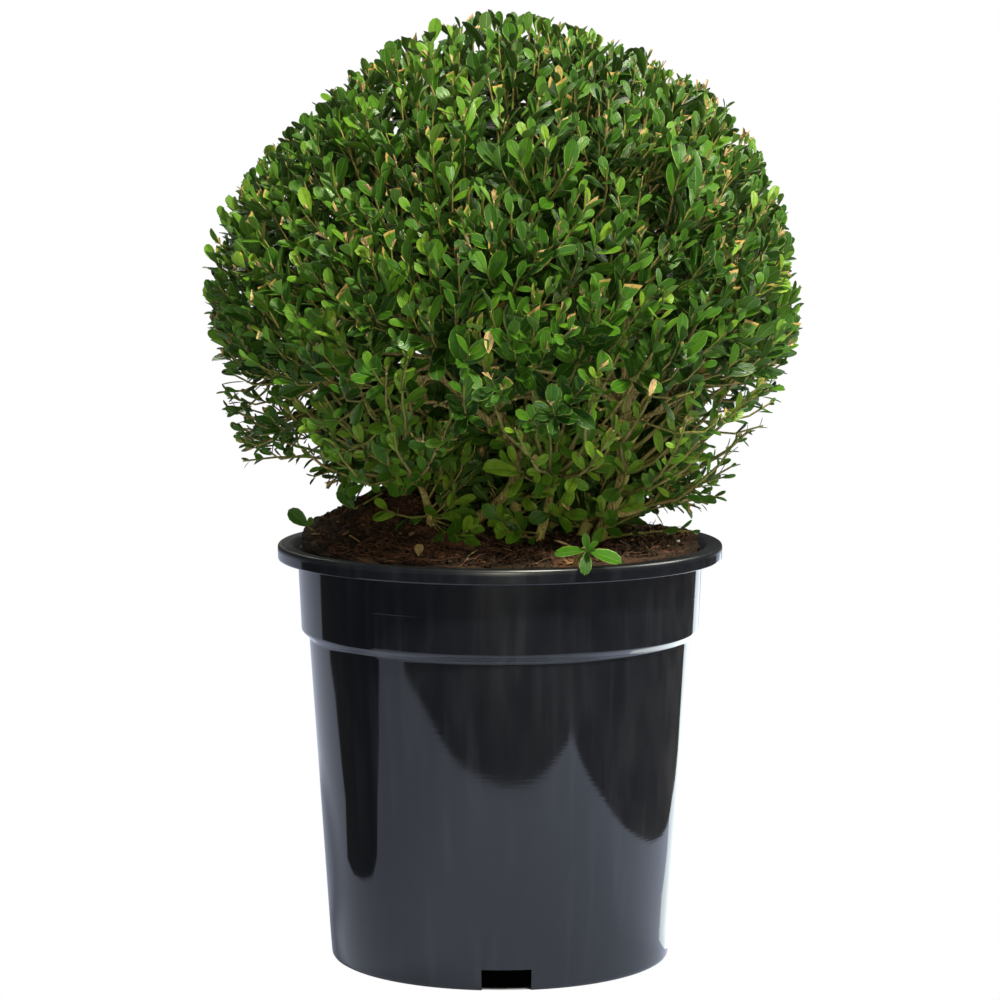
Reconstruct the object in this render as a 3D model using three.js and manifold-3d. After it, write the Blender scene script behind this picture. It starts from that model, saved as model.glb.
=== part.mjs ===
// A clipped box ball growing in a black nursery pot.
// Millimetres, +Z up. The pot stands on z = 0 with its axis on the Z axis, and the
// notch in its foot ring that counts as the front one faces -Y.
import * as THREE from 'three';
import { mergeVertices } from 'three/addons/utils/BufferGeometryUtils.js';
import Module from 'manifold-3d';

const wasm = await Module();
wasm.setup();

// ---------------------------------------------------------------- driving sizes
const RUNNING_GAP = 0.3;      // left between neighbouring solids
const FOLIAGE_GAP = 0.5;      // the same between two leafy masses, whose faces are coarser
const RIM_RADIUS = 127.5;     // outside of the rolled rim
const POT_HEIGHT = 239.5;     // foot to the top of the rim
const RIM_SKIRT = 8.7;        // how far the rim hangs down outside
const COLLAR_TOP_RADIUS = 116.2;
const COLLAR_FOOT_RADIUS = 114;
const COLLAR_FOOT = 190.3;    // height of the collar's lower edge
const BODY_TOP_RADIUS = 109.6;
const BODY_TOP = 184.3;       // height where the chamfer under the collar ends
const FOOT_RADIUS = 97.6;
const FOOT_ROUNDING = 2.5;
const WALL = 2.2;
const FLOOR_UNDERSIDE = 14;   // the base plate is lifted clear of the ground
const FLOOR_THICKNESS = 2.5;
const PLATE_SEAT = FOOT_RADIUS - WALL;  // inside radius of the wall at the base plate
const NOTCH_WIDTH = 27.7;
const NOTCH_HEIGHT = 12.2;
const NOTCH_COUNT = 3;
const FRONT_NOTCH_TURN = 2.1; // degrees from -Y towards +X
const DRAIN_HOLES = 6;
const DRAIN_RADIUS = 6;
const DRAIN_RING = 66;
const POT_SIDES = 40;

const SOIL_LEVEL = 240.5;
const FOOT_DEPTH = 3;         // how far the flat-cut stems are let into the soil

const CROWN_CENTRE = new THREE.Vector3(3, 0.6, 369.5);
const CROWN_RADIUS = 172;
const CROWN_FLOOR = 301;      // middle of the crown's underside
const EDGE_ROUNDING = 5;      // how softly the ball turns under at its lower edge

const BARK = 0x7d7442;
const LEAF = 0x3c6b1c;
const YOUNG_LEAF = 0x55861f;
const PLASTIC = 0x17181a;
const COMPOST = 0x2c1d13;

// ---------------------------------------------------------------- solids
// A closed geometry becomes a solid once its shared vertices are merged.
function solidOf(geometry) {
  const bare = geometry.clone();
  for (const name of Object.keys(bare.attributes)) {
    if (name !== 'position') bare.deleteAttribute(name);
  }
  const merged = mergeVertices(bare, 1e-4);
  const points = merged.attributes.position;
  const corners = Array.from(merged.index.array);
  const kept = [];
  let volume = 0;
  const a = new THREE.Vector3();
  const b = new THREE.Vector3();
  const c = new THREE.Vector3();
  for (let i = 0; i < corners.length; i += 3) {
    const [p, q, r] = corners.slice(i, i + 3);
    if (p === q || q === r || r === p) continue;
    kept.push(p, q, r);
    a.fromBufferAttribute(points, p);
    b.fromBufferAttribute(points, q);
    c.fromBufferAttribute(points, r);
    volume += a.dot(b.cross(c));
  }
  if (volume < 0) kept.reverse();
  return new wasm.Manifold(new wasm.Mesh({
    numProp: 3,
    vertProperties: new Float32Array(points.array),
    triVerts: new Uint32Array(kept),
  }));
}

function geometryOf(solid) {
  const mesh = solid.getMesh();
  const geometry = new THREE.BufferGeometry();
  geometry.setAttribute('position', new THREE.BufferAttribute(mesh.vertProperties, 3));
  geometry.setIndex(new THREE.BufferAttribute(mesh.triVerts, 1));
  geometry.computeVertexNormals();
  return geometry;
}

function finish(colour, roughness) {
  return new THREE.MeshStandardMaterial({ color: colour, roughness, metalness: 0 });
}

function named(name, solid, material) {
  const mesh = new THREE.Mesh(geometryOf(solid), material);
  mesh.name = name;
  return mesh;
}

// Moves every vertex of a geometry by a function of its position.
function reshape(geometry, move) {
  const points = geometry.attributes.position;
  const p = new THREE.Vector3();
  for (let i = 0; i < points.count; i += 1) {
    p.fromBufferAttribute(points, i);
    move(p);
    points.setXYZ(i, p.x, p.y, p.z);
  }
  return geometry;
}

const bell = (distance, spread) => Math.exp(-(distance ** 2) / (2 * spread ** 2));

// Three crossed waves: an unevenness between about -1 and 1 that never repeats nearby.
function unevenness(x, y, z, shift) {
  return (Math.sin(x + 1.7 * y + shift)
    + Math.sin(1.3 * y - 1.9 * z + 2.1 * shift)
    + Math.sin(1.6 * z + 1.1 * x - 0.7 * shift)) / 3;
}

// ---------------------------------------------------------------- pot
const collarInner = (z) => THREE.MathUtils.mapLinear(
  z, COLLAR_FOOT, POT_HEIGHT - RIM_SKIRT, COLLAR_FOOT_RADIUS - WALL, COLLAR_TOP_RADIUS - WALL);

// Turns a profile of [radius, height] pairs round the pot's upright axis.
function turned(profile, sides) {
  const points = profile.map(([r, z]) => new THREE.Vector2(r, z));
  return new THREE.LatheGeometry(points, sides).rotateX(Math.PI / 2);
}

// The wall with its rolled rim, hollow underneath, and the foot ring that it stands on.
function potSolid() {
  const rimFoot = POT_HEIGHT - RIM_SKIRT;
  const footInner = FOOT_RADIUS - FOOT_ROUNDING - WALL;
  const plateTop = FLOOR_UNDERSIDE + FLOOR_THICKNESS;
  const wall = solidOf(turned([
    [PLATE_SEAT, FLOOR_UNDERSIDE],
    [footInner, 0],
    [FOOT_RADIUS - FOOT_ROUNDING / 2, 0],
    [FOOT_RADIUS, FOOT_ROUNDING],
    [BODY_TOP_RADIUS, BODY_TOP],
    [COLLAR_FOOT_RADIUS, COLLAR_FOOT],
    [COLLAR_TOP_RADIUS, POT_HEIGHT - WALL],
    [RIM_RADIUS - WALL, POT_HEIGHT - WALL],
    [RIM_RADIUS - WALL, rimFoot],
    [RIM_RADIUS, rimFoot],
    [RIM_RADIUS, POT_HEIGHT - 1.5],
    [RIM_RADIUS - 1.5, POT_HEIGHT],
    [RIM_RADIUS - 7, POT_HEIGHT],
    [COLLAR_TOP_RADIUS - WALL, POT_HEIGHT - 5],
    [collarInner(COLLAR_FOOT), COLLAR_FOOT],
    [BODY_TOP_RADIUS - WALL, BODY_TOP],
    [PLATE_SEAT, plateTop],
    [PLATE_SEAT, FLOOR_UNDERSIDE],
  ], POT_SIDES));
  return notches().reduce((pot, notch) => pot.subtract(notch), wall);
}

// The plate across the foot, lifted clear of the ground, with its drain holes.
function plateSolid() {
  const plate = turned([
    [0, FLOOR_UNDERSIDE],
    [PLATE_SEAT - RUNNING_GAP, FLOOR_UNDERSIDE],
    [PLATE_SEAT - RUNNING_GAP, FLOOR_UNDERSIDE + FLOOR_THICKNESS],
    [0, FLOOR_UNDERSIDE + FLOOR_THICKNESS],
  ], POT_SIDES);
  return drainHoles().reduce((left, hole) => left.subtract(hole), solidOf(plate));
}

// The cut-outs round the foot ring that let the water out.
function notches() {
  const notch = new THREE.Shape();
  const half = NOTCH_WIDTH / 2;
  notch.moveTo(-half - 1, -1);
  notch.lineTo(half + 1, -1);
  notch.lineTo(half, 2);
  notch.lineTo(half, NOTCH_HEIGHT);
  notch.lineTo(-half, NOTCH_HEIGHT);
  notch.lineTo(-half, 2);
  return Array.from({ length: NOTCH_COUNT }, (_, i) => {
    const turn = THREE.MathUtils.degToRad(FRONT_NOTCH_TURN + (i * 360) / NOTCH_COUNT);
    const block = new THREE.ExtrudeGeometry(notch, { depth: 30, bevelEnabled: false });
    block.rotateX(Math.PI / 2).translate(0, -FOOT_RADIUS + 20, 0).rotateZ(turn);
    return solidOf(block);
  });
}

function drainHoles() {
  return Array.from({ length: DRAIN_HOLES + 1 }, (_, i) => {
    const turn = ((i + 0.5) * 2 * Math.PI) / DRAIN_HOLES;
    const ring = i < DRAIN_HOLES ? DRAIN_RING : 0;
    const hole = new THREE.CylinderGeometry(DRAIN_RADIUS, DRAIN_RADIUS, 20, 12).rotateX(Math.PI / 2);
    hole.translate(ring * Math.cos(turn), ring * Math.sin(turn), FLOOR_UNDERSIDE + 2);
    return solidOf(hole);
  });
}

// ---------------------------------------------------------------- compost
// The surface is level in front, and banks up behind the left stems and at the right edge.
function soilTop(x, y) {
  const bank = 26 * bell(x + 58, 34) * bell(y - 32, 34);
  const heap = 5 * bell(x - 104, 22) * bell(y - 12, 40);
  const edge = Math.hypot(x, y) / 114;
  return SOIL_LEVEL + bank + heap - 2.2 * edge ** 6 + 0.8 * unevenness(x / 9, y / 9, 0, 2);
}

function soilSolid() {
  const wallGap = WALL + RUNNING_GAP;
  const rings = [0.16, 0.34, 0.5, 0.65, 0.8, 0.92];
  const edge = collarInner(POT_HEIGHT - RIM_SKIRT) - RUNNING_GAP - 0.1;
  const floor = FLOOR_UNDERSIDE + FLOOR_THICKNESS + RUNNING_GAP;
  const wall = [
    [0, floor],
    [FOOT_RADIUS - wallGap, floor],
    [BODY_TOP_RADIUS - wallGap - 0.2, BODY_TOP],
    [collarInner(COLLAR_FOOT) - RUNNING_GAP - 0.2, COLLAR_FOOT + 1],
  ];
  const surface = [1, ...rings.reverse(), 0].map((share) => [share * edge, SOIL_LEVEL]);
  const block = turned([...wall, ...surface], POT_SIDES);
  return solidOf(reshape(block, (p) => {
    if (p.z > SOIL_LEVEL - 1) p.z = soilTop(p.x, p.y);
  }));
}

// ---------------------------------------------------------------- stems and boughs
// A limb runs from its foot to its tip, pushed sideways by `bow` at the share `at` of
// its way. Feet with two numbers stand on the compost; `from` starts a bough on a stem.
const LIMBS = [
  { name: 'stem_right', foot: [53, -8], tip: [71, -38, 318], at: 0.45, bow: [7, -2, 0], thick: [7.6, 5.2] },
  { name: 'stem_front', foot: [-19, 9], tip: [-11, -32, 316], at: 0.36, bow: [22, -1, -1], thick: [6, 4] },
  { name: 'stem_middle', foot: [21, -12], tip: [31, -34, 284], at: 0.5, bow: [1, 3, 0], thick: [5, 3.4] },
  { name: 'stem_left', foot: [-30, 14], tip: [-42, 0, 318], at: 0.5, bow: [2, 4, 0], thick: [6, 4] },
  { name: 'stem_far_left', foot: [-39, -9], tip: [-50, -28, 284], at: 0.5, bow: [2, 3, 0], thick: [4.6, 3] },
  { name: 'stem_back', foot: [-6, 34], tip: [-20, 62, 316], at: 0.5, bow: [3, 3, 0], thick: [6.4, 4.4] },
  { name: 'stem_back_left', foot: [-38, 42], tip: [-56, 70, 286], at: 0.5, bow: [-3, 3, 0], thick: [5, 3.4] },
  { name: 'stem_back_right', foot: [28, 30], tip: [60, 70, 288], at: 0.5, bow: [-2, 5, 0], thick: [6, 4] },
  { name: 'stem_far_right', foot: [46, 14], tip: [96, 30, 312], at: 0.5, bow: [-6, 0, -4], thick: [6, 4] },
  { name: 'stem_centre', foot: [8, 12], tip: [22, 16, 318], at: 0.5, bow: [-3, 2, 0], thick: [6.6, 4.6] },
  { name: 'bough_left', foot: [-54, 24], tip: [-86, 14, 282], at: 0.5, bow: [3, 3, 4], thick: [5, 3.2] },
  { name: 'bough_right', from: 'stem_right', up: 0.24, tip: [98, -14, 276], at: 0.5, bow: [2, -3, -5], thick: [3.6, 2.6] },
  { name: 'shoot_rim', foot: [41, -98], tip: [49, -119, 250], at: 0.5, bow: [-1, 0, 4], thick: [2.2, 1.8] },
];

const LIMB_SIDES = 8;
const LIMB_STEP = 9;          // length of one facet along a limb
const FLARE = 0.45;           // how much wider than its taper a stem is at its foot
const limbCurves = new Map();

function limbCurve(limb) {
  const tip = new THREE.Vector3(...limb.tip);
  const foot = limb.from
    ? limbCurves.get(limb.from).getPoint(limb.up)
    : new THREE.Vector3(...limb.foot, soilTop(...limb.foot) - FOOT_DEPTH);
  const bend = foot.clone().lerp(tip, limb.at).add(new THREE.Vector3(...limb.bow));
  const left = 1 - limb.at;
  const pull = bend.addScaledVector(foot, -(left ** 2)).addScaledVector(tip, -(limb.at ** 2));
  return new THREE.QuadraticBezierCurve3(foot, pull.divideScalar(2 * limb.at * left), tip);
}

// A capped cylinder bent along the limb's curve, tapering, flared at the foot and cut
// level there. `grow` makes the same limb larger all over, to cut its socket.
function limbSolid(limb, curve, grow = 0) {
  const length = curve.getLength();
  const steps = Math.max(4, Math.round(length / LIMB_STEP));
  const [footThickness, tipThickness] = limb.thick;
  const rod = new THREE.CylinderGeometry(1, 1, steps, LIMB_SIDES, steps);
  const start = curve.getPoint(0);
  return solidOf(reshape(rod, (p) => {
    const ring = Math.round(p.y + steps / 2);
    const along = ring / steps;
    const flare = limb.from ? 0 : FLARE * Math.exp((-along * length) / 7);
    const radius = THREE.MathUtils.lerp(footThickness, tipThickness, along) / 2;
    const spread = radius * (1 + flare) + grow;
    const centre = curve.getPoint(along);
    const tangent = curve.getTangent(along);
    const across = new THREE.Vector3(0, 1, 0).cross(tangent).normalize();
    const level = !limb.from && ring === 0;
    if (ring === steps) centre.addScaledVector(tangent, grow);
    centre.addScaledVector(across, p.x * spread);
    centre.addScaledVector(across.cross(tangent), p.z * spread);
    if (level) centre.addScaledVector(tangent, (start.z - grow - centre.z) / tangent.z);
    p.copy(centre);
  }));
}

// ---------------------------------------------------------------- foliage masses
// Places where the clipped ball stands out from (+) or falls short of (-) a true sphere.
// Directions are [degrees round from +X, degrees up], amounts in mm, spreads in degrees.
const SWELLS = [
  { towards: [180, 40], amount: -10, spread: 13 },
  { towards: [180, 62], amount: -5, spread: 14 },
  { towards: [180, 19], amount: 4, spread: 11 },
  { towards: [180, 85], amount: 3, spread: 12 },
  { towards: [180, -14], amount: -3, spread: 14 },
  { towards: [0, 38], amount: 3, spread: 12 },
  { towards: [0, 14], amount: -5, spread: 15 },
  { towards: [0, 62], amount: -6, spread: 15 },
  { towards: [0, -28], amount: -12, spread: 14 },
  { towards: [115, 40], amount: -6, spread: 20 },
  { towards: [60, 5], amount: -4, spread: 16 },
  { towards: [-60, 20], amount: -3, spread: 18 },
];

function bearing(round, up) {
  const a = THREE.MathUtils.degToRad(round);
  const e = THREE.MathUtils.degToRad(up);
  return new THREE.Vector3(Math.cos(e) * Math.cos(a), Math.cos(e) * Math.sin(a), Math.sin(e));
}

// Distance from the crown's centre to its surface in a direction.
function crownReach(direction) {
  let reach = CROWN_RADIUS + 1.6 * unevenness(7 * direction.x, 7 * direction.y, 7 * direction.z, 1);
  for (const { towards, amount, spread } of SWELLS) {
    const apart = THREE.MathUtils.radToDeg(direction.angleTo(bearing(...towards)));
    reach += amount * bell(apart, spread);
  }
  if (direction.z > -0.05) return reach;
  const sideways = direction.x ** 2 / (direction.x ** 2 + direction.y ** 2 + 1e-6);
  const towardsFront = Math.max(0, -direction.y);
  const outwards = Math.hypot(direction.x, direction.y) / -direction.z / 1.9;
  const droop = Math.min(1, outwards) ** 2 * (4 + 12 * sideways - 12 * towardsFront);
  const waves = 2 * unevenness(6 * direction.x, 6 * direction.y, 6 * direction.z, 4);
  const floor = (CROWN_CENTRE.z - CROWN_FLOOR + droop + waves) / -direction.z;
  return -EDGE_ROUNDING * Math.log(Math.exp(-reach / EDGE_ROUNDING) + Math.exp(-floor / EDGE_ROUNDING));
}

function crownSolid(grow = 0) {
  return solidOf(reshape(new THREE.IcosahedronGeometry(1, 8), (p) => {
    const direction = p.clone().normalize();
    p.copy(CROWN_CENTRE).addScaledVector(direction, crownReach(direction) + grow);
  }));
}

// Low leafy masses under the ball, each round the end of its own limb.
const SPRAYS = [
  { name: 'spray_left', centre: [-89, 13, 281], half: [27, 34, 17], seed: 1 },
  { name: 'spray_right', centre: [103, -8, 277], half: [28, 40, 22], seed: 2 },
  { name: 'spray_front_left', centre: [-52, -38, 289], half: [26, 22, 19], seed: 3 },
  { name: 'spray_front', centre: [26, -46, 291], half: [24, 22, 18], seed: 4 },
  { name: 'spray_back_left', centre: [-54, 80, 288], half: [33, 28, 18], seed: 5 },
  { name: 'spray_back_right', centre: [66, 76, 287], half: [36, 30, 19], seed: 6 },
  { name: 'sprig_rim', centre: [51, -125, 249.5], half: [15, 10, 6.5], seed: 7 },
];

function spraySolid({ centre, half, seed }, grow = 0) {
  const detail = Math.floor(half[0] / 16) + 1;
  return solidOf(reshape(new THREE.IcosahedronGeometry(1, detail), (p) => {
    const direction = p.clone().normalize();
    const swell = 1 + 0.11 * unevenness(3 * direction.x, 3 * direction.y, 3 * direction.z, seed);
    p.set(
      centre[0] + (half[0] * swell + grow) * direction.x,
      centre[1] + (half[1] * swell + grow) * direction.y,
      centre[2] + (half[2] * swell + grow) * direction.z,
    );
  }));
}

// ---------------------------------------------------------------- assembly
const plant = new THREE.Group();

const potFinish = finish(PLASTIC, 0.3);
const soilFinish = finish(COMPOST, 0.95);
const barkFinish = finish(BARK, 0.85);
const leafFinish = finish(LEAF, 0.5);
const youngFinish = finish(YOUNG_LEAF, 0.5);

const limbs = LIMBS.map((limb) => {
  const curve = limbCurve(limb);
  limbCurves.set(limb.name, curve);
  return { ...limb, solid: limbSolid(limb, curve), socket: limbSolid(limb, curve, RUNNING_GAP) };
});
const without = (solid, cutters) => cutters.reduce((left, cutter) => left.subtract(cutter), solid);
const sockets = limbs.map((limb) => limb.socket);

plant.add(named('pot', potSolid(), potFinish));
plant.add(named('pot_base', plateSolid(), potFinish));
plant.add(named('soil', without(soilSolid(), sockets), soilFinish));
for (const limb of limbs) {
  const parent = limbs.find((other) => other.name === limb.from);
  const solid = parent ? limb.solid.subtract(parent.socket) : limb.solid;
  plant.add(named(limb.name, solid, barkFinish));
}
plant.add(named('crown_ball', without(crownSolid(), sockets), leafFinish));
const takenRoom = [crownSolid(FOLIAGE_GAP), ...sockets];
for (const spray of SPRAYS) {
  plant.add(named(spray.name, without(spraySolid(spray), takenRoom), youngFinish));
  takenRoom.push(spraySolid(spray, FOLIAGE_GAP));
}

export default plant;
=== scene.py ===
# A clipped box ball in its black nursery pot: the finished look, built round the CAD frame.
# Everything is in metres, Z up, seen from -Y; MM turns millimetres into metres.
import math
from collections import namedtuple
from functools import partialmethod

import bmesh
import bpy
import numpy as np
from mathutils import Matrix, Quaternion, Vector, noise
from mathutils.bvhtree import BVHTree
from mathutils.kdtree import KDTree


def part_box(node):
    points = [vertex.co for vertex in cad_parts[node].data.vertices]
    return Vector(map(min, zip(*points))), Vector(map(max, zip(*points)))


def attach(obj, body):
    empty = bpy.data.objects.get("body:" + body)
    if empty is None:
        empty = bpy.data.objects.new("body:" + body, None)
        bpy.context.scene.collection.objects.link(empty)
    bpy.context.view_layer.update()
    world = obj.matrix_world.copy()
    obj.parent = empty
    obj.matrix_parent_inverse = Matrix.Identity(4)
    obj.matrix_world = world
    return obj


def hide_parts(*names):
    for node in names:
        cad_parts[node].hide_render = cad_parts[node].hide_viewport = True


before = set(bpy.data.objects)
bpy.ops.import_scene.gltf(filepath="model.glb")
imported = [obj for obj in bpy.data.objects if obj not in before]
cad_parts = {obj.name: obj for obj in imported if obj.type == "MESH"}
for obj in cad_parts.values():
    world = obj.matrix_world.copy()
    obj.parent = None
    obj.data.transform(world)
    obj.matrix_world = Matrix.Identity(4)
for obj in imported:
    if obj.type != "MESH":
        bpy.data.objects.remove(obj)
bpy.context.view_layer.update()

MM = 0.001
UP = Vector((0, 0, 1))
SEED = 41
chance = np.random.default_rng(SEED)


# ---------------------------------------------------------------- node trees
class Value:
    """One output socket of a node tree. Arithmetic on it adds Math nodes."""

    def __init__(self, tree, socket):
        self.tree = tree
        self.socket = socket

    def math(self, operation, *others):
        return self.tree.node(
            "ShaderNodeMath", {"operation": operation}, dict(enumerate((self, *others))))

    def reflected(self, operation, other):
        """The same with this value second, as in 1 - mask."""
        return self.tree.node("ShaderNodeMath", {"operation": operation}, {0: other, 1: self})

    __add__ = __radd__ = partialmethod(math, "ADD")
    __mul__ = __rmul__ = partialmethod(math, "MULTIPLY")
    __sub__ = partialmethod(math, "SUBTRACT")
    __rsub__ = partialmethod(reflected, "SUBTRACT")
    __truediv__ = partialmethod(math, "DIVIDE")
    __rtruediv__ = partialmethod(reflected, "DIVIDE")
    floor = partialmethod(math, "FLOOR")
    fraction = partialmethod(math, "FRACT")
    size = partialmethod(math, "ABSOLUTE")

    def ramp(self, low, high, at_low=0.0, at_high=1.0):
        """Eases from at_low to at_high while this value goes from low to high."""
        return self.tree.node(
            "ShaderNodeMapRange", {"interpolation_type": "SMOOTHSTEP"},
            {"Value": self, "From Min": low, "From Max": high, "To Min": at_low, "To Max": at_high})


class Tree:
    """A node tree under construction, of a material or of a Geometry Nodes modifier."""

    def __init__(self, tree):
        self.tree = tree

    def node(self, kind, settings=None, links=None, out=0):
        """Adds a node: its settings first, then the values or links of its sockets."""
        node = self.tree.nodes.new(kind)
        for name, value in (settings or {}).items():
            setattr(node, name, value)
        for name, value in (links or {}).items():
            self.feed(node, name, value)
        return Value(self, self.socket(node.outputs, out))

    @staticmethod
    def socket(sockets, wanted):
        """The socket with this identifier, or else with this name or number."""
        return next((s for s in sockets if s.identifier == wanted), None) or sockets[wanted]

    def feed(self, node, name, value):
        socket = self.socket(node.inputs, name)
        if isinstance(value, Value):
            self.tree.links.new(value.socket, socket)
        else:
            socket.default_value = value

    def bands(self, value, colours):
        """Equal bands of plain colour over a value that runs from 0 to 1."""
        ramp = self.tree.nodes.new("ShaderNodeValToRGB")
        ramp.color_ramp.interpolation = "CONSTANT"
        stops = ramp.color_ramp.elements
        for i in range(2, len(colours)):
            stops.new(i / len(colours))
        for i, (stop, colour) in enumerate(zip(stops, colours)):
            stop.position = i / len(colours)
            stop.color = (*colour, 1)
        self.feed(ramp, "Fac", value)
        return Value(self, ramp.outputs["Color"])

    def mix(self, share, first, second):
        """Blends two colours; each is a value or three numbers."""
        first, second = (c if isinstance(c, Value) else (*c, 1) for c in (first, second))
        return self.node(
            "ShaderNodeMix", {"data_type": "RGBA"},
            {"Factor_Float": share, "A_Color": first, "B_Color": second}, "Result_Color")

    def noise(self, place, scale, detail=3.0, roughness=0.5):
        return self.node(
            "ShaderNodeTexNoise", None,
            {"Vector": place, "Scale": scale, "Detail": detail, "Roughness": roughness})

    def vector(self, operation, first, second):
        return self.node("ShaderNodeVectorMath", {"operation": operation}, {0: first, 1: second})

    def stretched(self, place, scale):
        """The place with each axis scaled, for patterns that run one way."""
        return self.vector("MULTIPLY", place, scale)

    def noted(self, name):
        """What is noted under this name on a mesh's points."""
        kind = POINT_NOTES.get(name, "FLOAT_VECTOR")
        return self.node("GeometryNodeInputNamedAttribute", {"data_type": kind}, {"Name": name})

    def part(self, place, axis):
        """One number of a vector: its X, Y or Z."""
        return self.node("ShaderNodeSeparateXYZ", None, {"Vector": place}, axis)


class Finish(Tree):
    """A material: surface() sets the shader's sockets, the rest comes from nodes."""

    def __init__(self, name):
        self.material = bpy.data.materials.new(name)
        self.material.use_nodes = True
        super().__init__(self.material.node_tree)
        self.shader = self.tree.nodes["Principled BSDF"]
        self.place = self.node("ShaderNodeTexCoord", out="Object")

    def surface(self, **sockets):
        for name, value in sockets.items():
            self.feed(self.shader, name.replace("_", " "), value)
        return self.material

    def bump(self, height, distance, strength=1.0):
        return self.node(
            "ShaderNodeBump", None, {"Height": height, "Distance": distance, "Strength": strength})


# ---------------------------------------------------------------- meshes and pieces
def mesh_object(name, points, faces=(), edges=(), finish=None):
    mesh = bpy.data.meshes.new(name)
    mesh.from_pydata([tuple(p) for p in points], list(edges), list(faces))
    if finish:
        mesh.materials.append(finish)
    made = bpy.data.objects.new(name, mesh)
    bpy.context.scene.collection.objects.link(made)
    return made


def mesh_from(shape, name):
    """Ends the work on a bmesh and gives it as a mesh."""
    mesh = bpy.data.meshes.new(name)
    shape.to_mesh(mesh)
    shape.free()
    return mesh


def around(radius, turn, z=0.0):
    """The point at this radius and turn round the upright axis."""
    return Vector((radius * math.cos(turn), radius * math.sin(turn), z))


def baked_down(made):
    """Replaces an object's mesh and modifiers by the plain mesh that they give."""
    bpy.context.view_layer.update()
    graph = bpy.context.evaluated_depsgraph_get()
    plain = bpy.data.meshes.new_from_object(made.evaluated_get(graph), depsgraph=graph)
    made.modifiers.clear()
    made.data = plain
    return made


def grow(made, tree, **inputs):
    """Runs a geometry tree on an object, with its named inputs, and keeps the plain result."""
    modifier = made.modifiers.new("grow", "NODES")
    identifiers = {item.name: item.identifier for item in tree.interface.items_tree}
    modifier.node_group = tree
    for name, value in inputs.items():
        modifier[identifiers[name]] = value
    baked_down(made)
    for name in [a.name for a in made.data.attributes if a.name in POINT_NOTES]:
        made.data.attributes.remove(made.data.attributes[name])
    return made


# What the points of a mesh tell a geometry tree.
POINT_NOTES = {
    "thickness": "FLOAT", "turn": "QUATERNION", "size": "FLOAT_VECTOR", "shape": "INT", "tint": "INT"}


def note(made, name, values):
    """Writes one value per point on an object's mesh, for a geometry tree to read."""
    kind = POINT_NOTES[name]
    attribute = made.data.attributes.new(name, kind, "POINT")
    number = np.int32 if kind == "INT" else np.float32
    field = "vector" if kind == "FLOAT_VECTOR" else "value"
    attribute.data.foreach_set(field, np.asarray(values, dtype=number).ravel())


def piece(made, slot, *nodes):
    """Puts a finished object on the part's body and hides the CAD nodes it stands for. The slot is not
    used.
    """
    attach(made, "root")
    if nodes:
        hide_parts(*nodes)
    return made


def smooth(made, sharper_than=None):
    made.data.shade_smooth()
    if sharper_than:
        made.data.set_sharp_from_angle(angle=math.radians(sharper_than))
    return made


def geometry_tree(name, inputs):
    """A geometry tree with a Geometry input and output and the named inputs given."""
    group = bpy.data.node_groups.new(name, "GeometryNodeTree")
    group.interface.new_socket("Geometry", in_out="OUTPUT", socket_type="NodeSocketGeometry")
    group.interface.new_socket("Geometry", in_out="INPUT", socket_type="NodeSocketGeometry")
    for label, kind in inputs.items():
        group.interface.new_socket(label, in_out="INPUT", socket_type=f"NodeSocket{kind}")
    tree = Tree(group)
    entry = group.nodes.new("NodeGroupInput")
    given = {label: Value(tree, entry.outputs[label]) for label in ["Geometry", *inputs]}
    return tree, given


def close_tree(tree, geometry, material):
    """Ends a geometry tree in Realize Instances and Set Material."""
    real = tree.node("GeometryNodeRealizeInstances", None, {"Geometry": geometry})
    coated = tree.node("GeometryNodeSetMaterial", None, {"Geometry": real, "Material": material})
    end = tree.tree.nodes.new("NodeGroupOutput")
    tree.feed(end, "Geometry", coated)
    return tree.tree


def skin_of(node):
    """A CAD solid's surface, for finding heights and distances on it."""
    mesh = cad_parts[node].data
    return BVHTree.FromPolygons([v.co for v in mesh.vertices], [p.vertices for p in mesh.polygons])


def rough_noise(point, scale, octaves=4):
    """Fractal noise between about -1 and 1 at a point, with features of the given size."""
    return noise.fractal(Vector(point) / scale, 1.0, 2.0, octaves, noise_basis="PERLIN_ORIGINAL")


# ---------------------------------------------------------------- pot
pot_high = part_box("pot")[1]
RIM_RADIUS = pot_high.x
POT_HEIGHT = pot_high.z
RIM_SKIRT = 8.7 * MM
RIM_WIDTH = 9 * MM
COLLAR_TOP_RADIUS = 116.2 * MM
COLLAR_FOOT_RADIUS = 114 * MM
COLLAR_FOOT = 190.1 * MM
BODY_TOP_RADIUS = 109.6 * MM
BODY_TOP = 185.7 * MM
FOOT_RADIUS = 97.6 * MM
FOOT_RING = 4.7 * MM
FOOT_EASE = 2.5 * MM
WALL = 2.2 * MM
PLATE_UNDERSIDE = 14 * MM
PLATE_THICKNESS = 2.5 * MM
NOTCH_HEIGHT = 12.2 * MM
NOTCH_WIDTH = 27.7 * MM
NOTCH_COUNT = 3
NOTCH_FACETS = 10
WALL_FACETS = 54
FRONT_NOTCH = math.radians(-90 + 2.1)
DRAIN_RING = 66 * MM
DRAIN_RADIUS = 6 * MM
DRAIN_HOLES = 6


def rounded(corners, steps=4):
    """A profile through (radius, height, rounding) corners, each eased by a short curve."""
    profile = []
    for i, (radius, height, ease) in enumerate(corners):
        corner = Vector((radius, height))
        if not ease:
            profile.append(corner)
            continue
        before, after = Vector(corners[i - 1][:2]), Vector(corners[i + 1][:2])
        first = corner + (before - corner).normalized() * ease
        last = corner + (after - corner).normalized() * ease
        for k in range(steps + 1):
            t = k / steps
            profile.append(first.lerp(corner, t).lerp(corner.lerp(last, t), t))
    return profile


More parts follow.
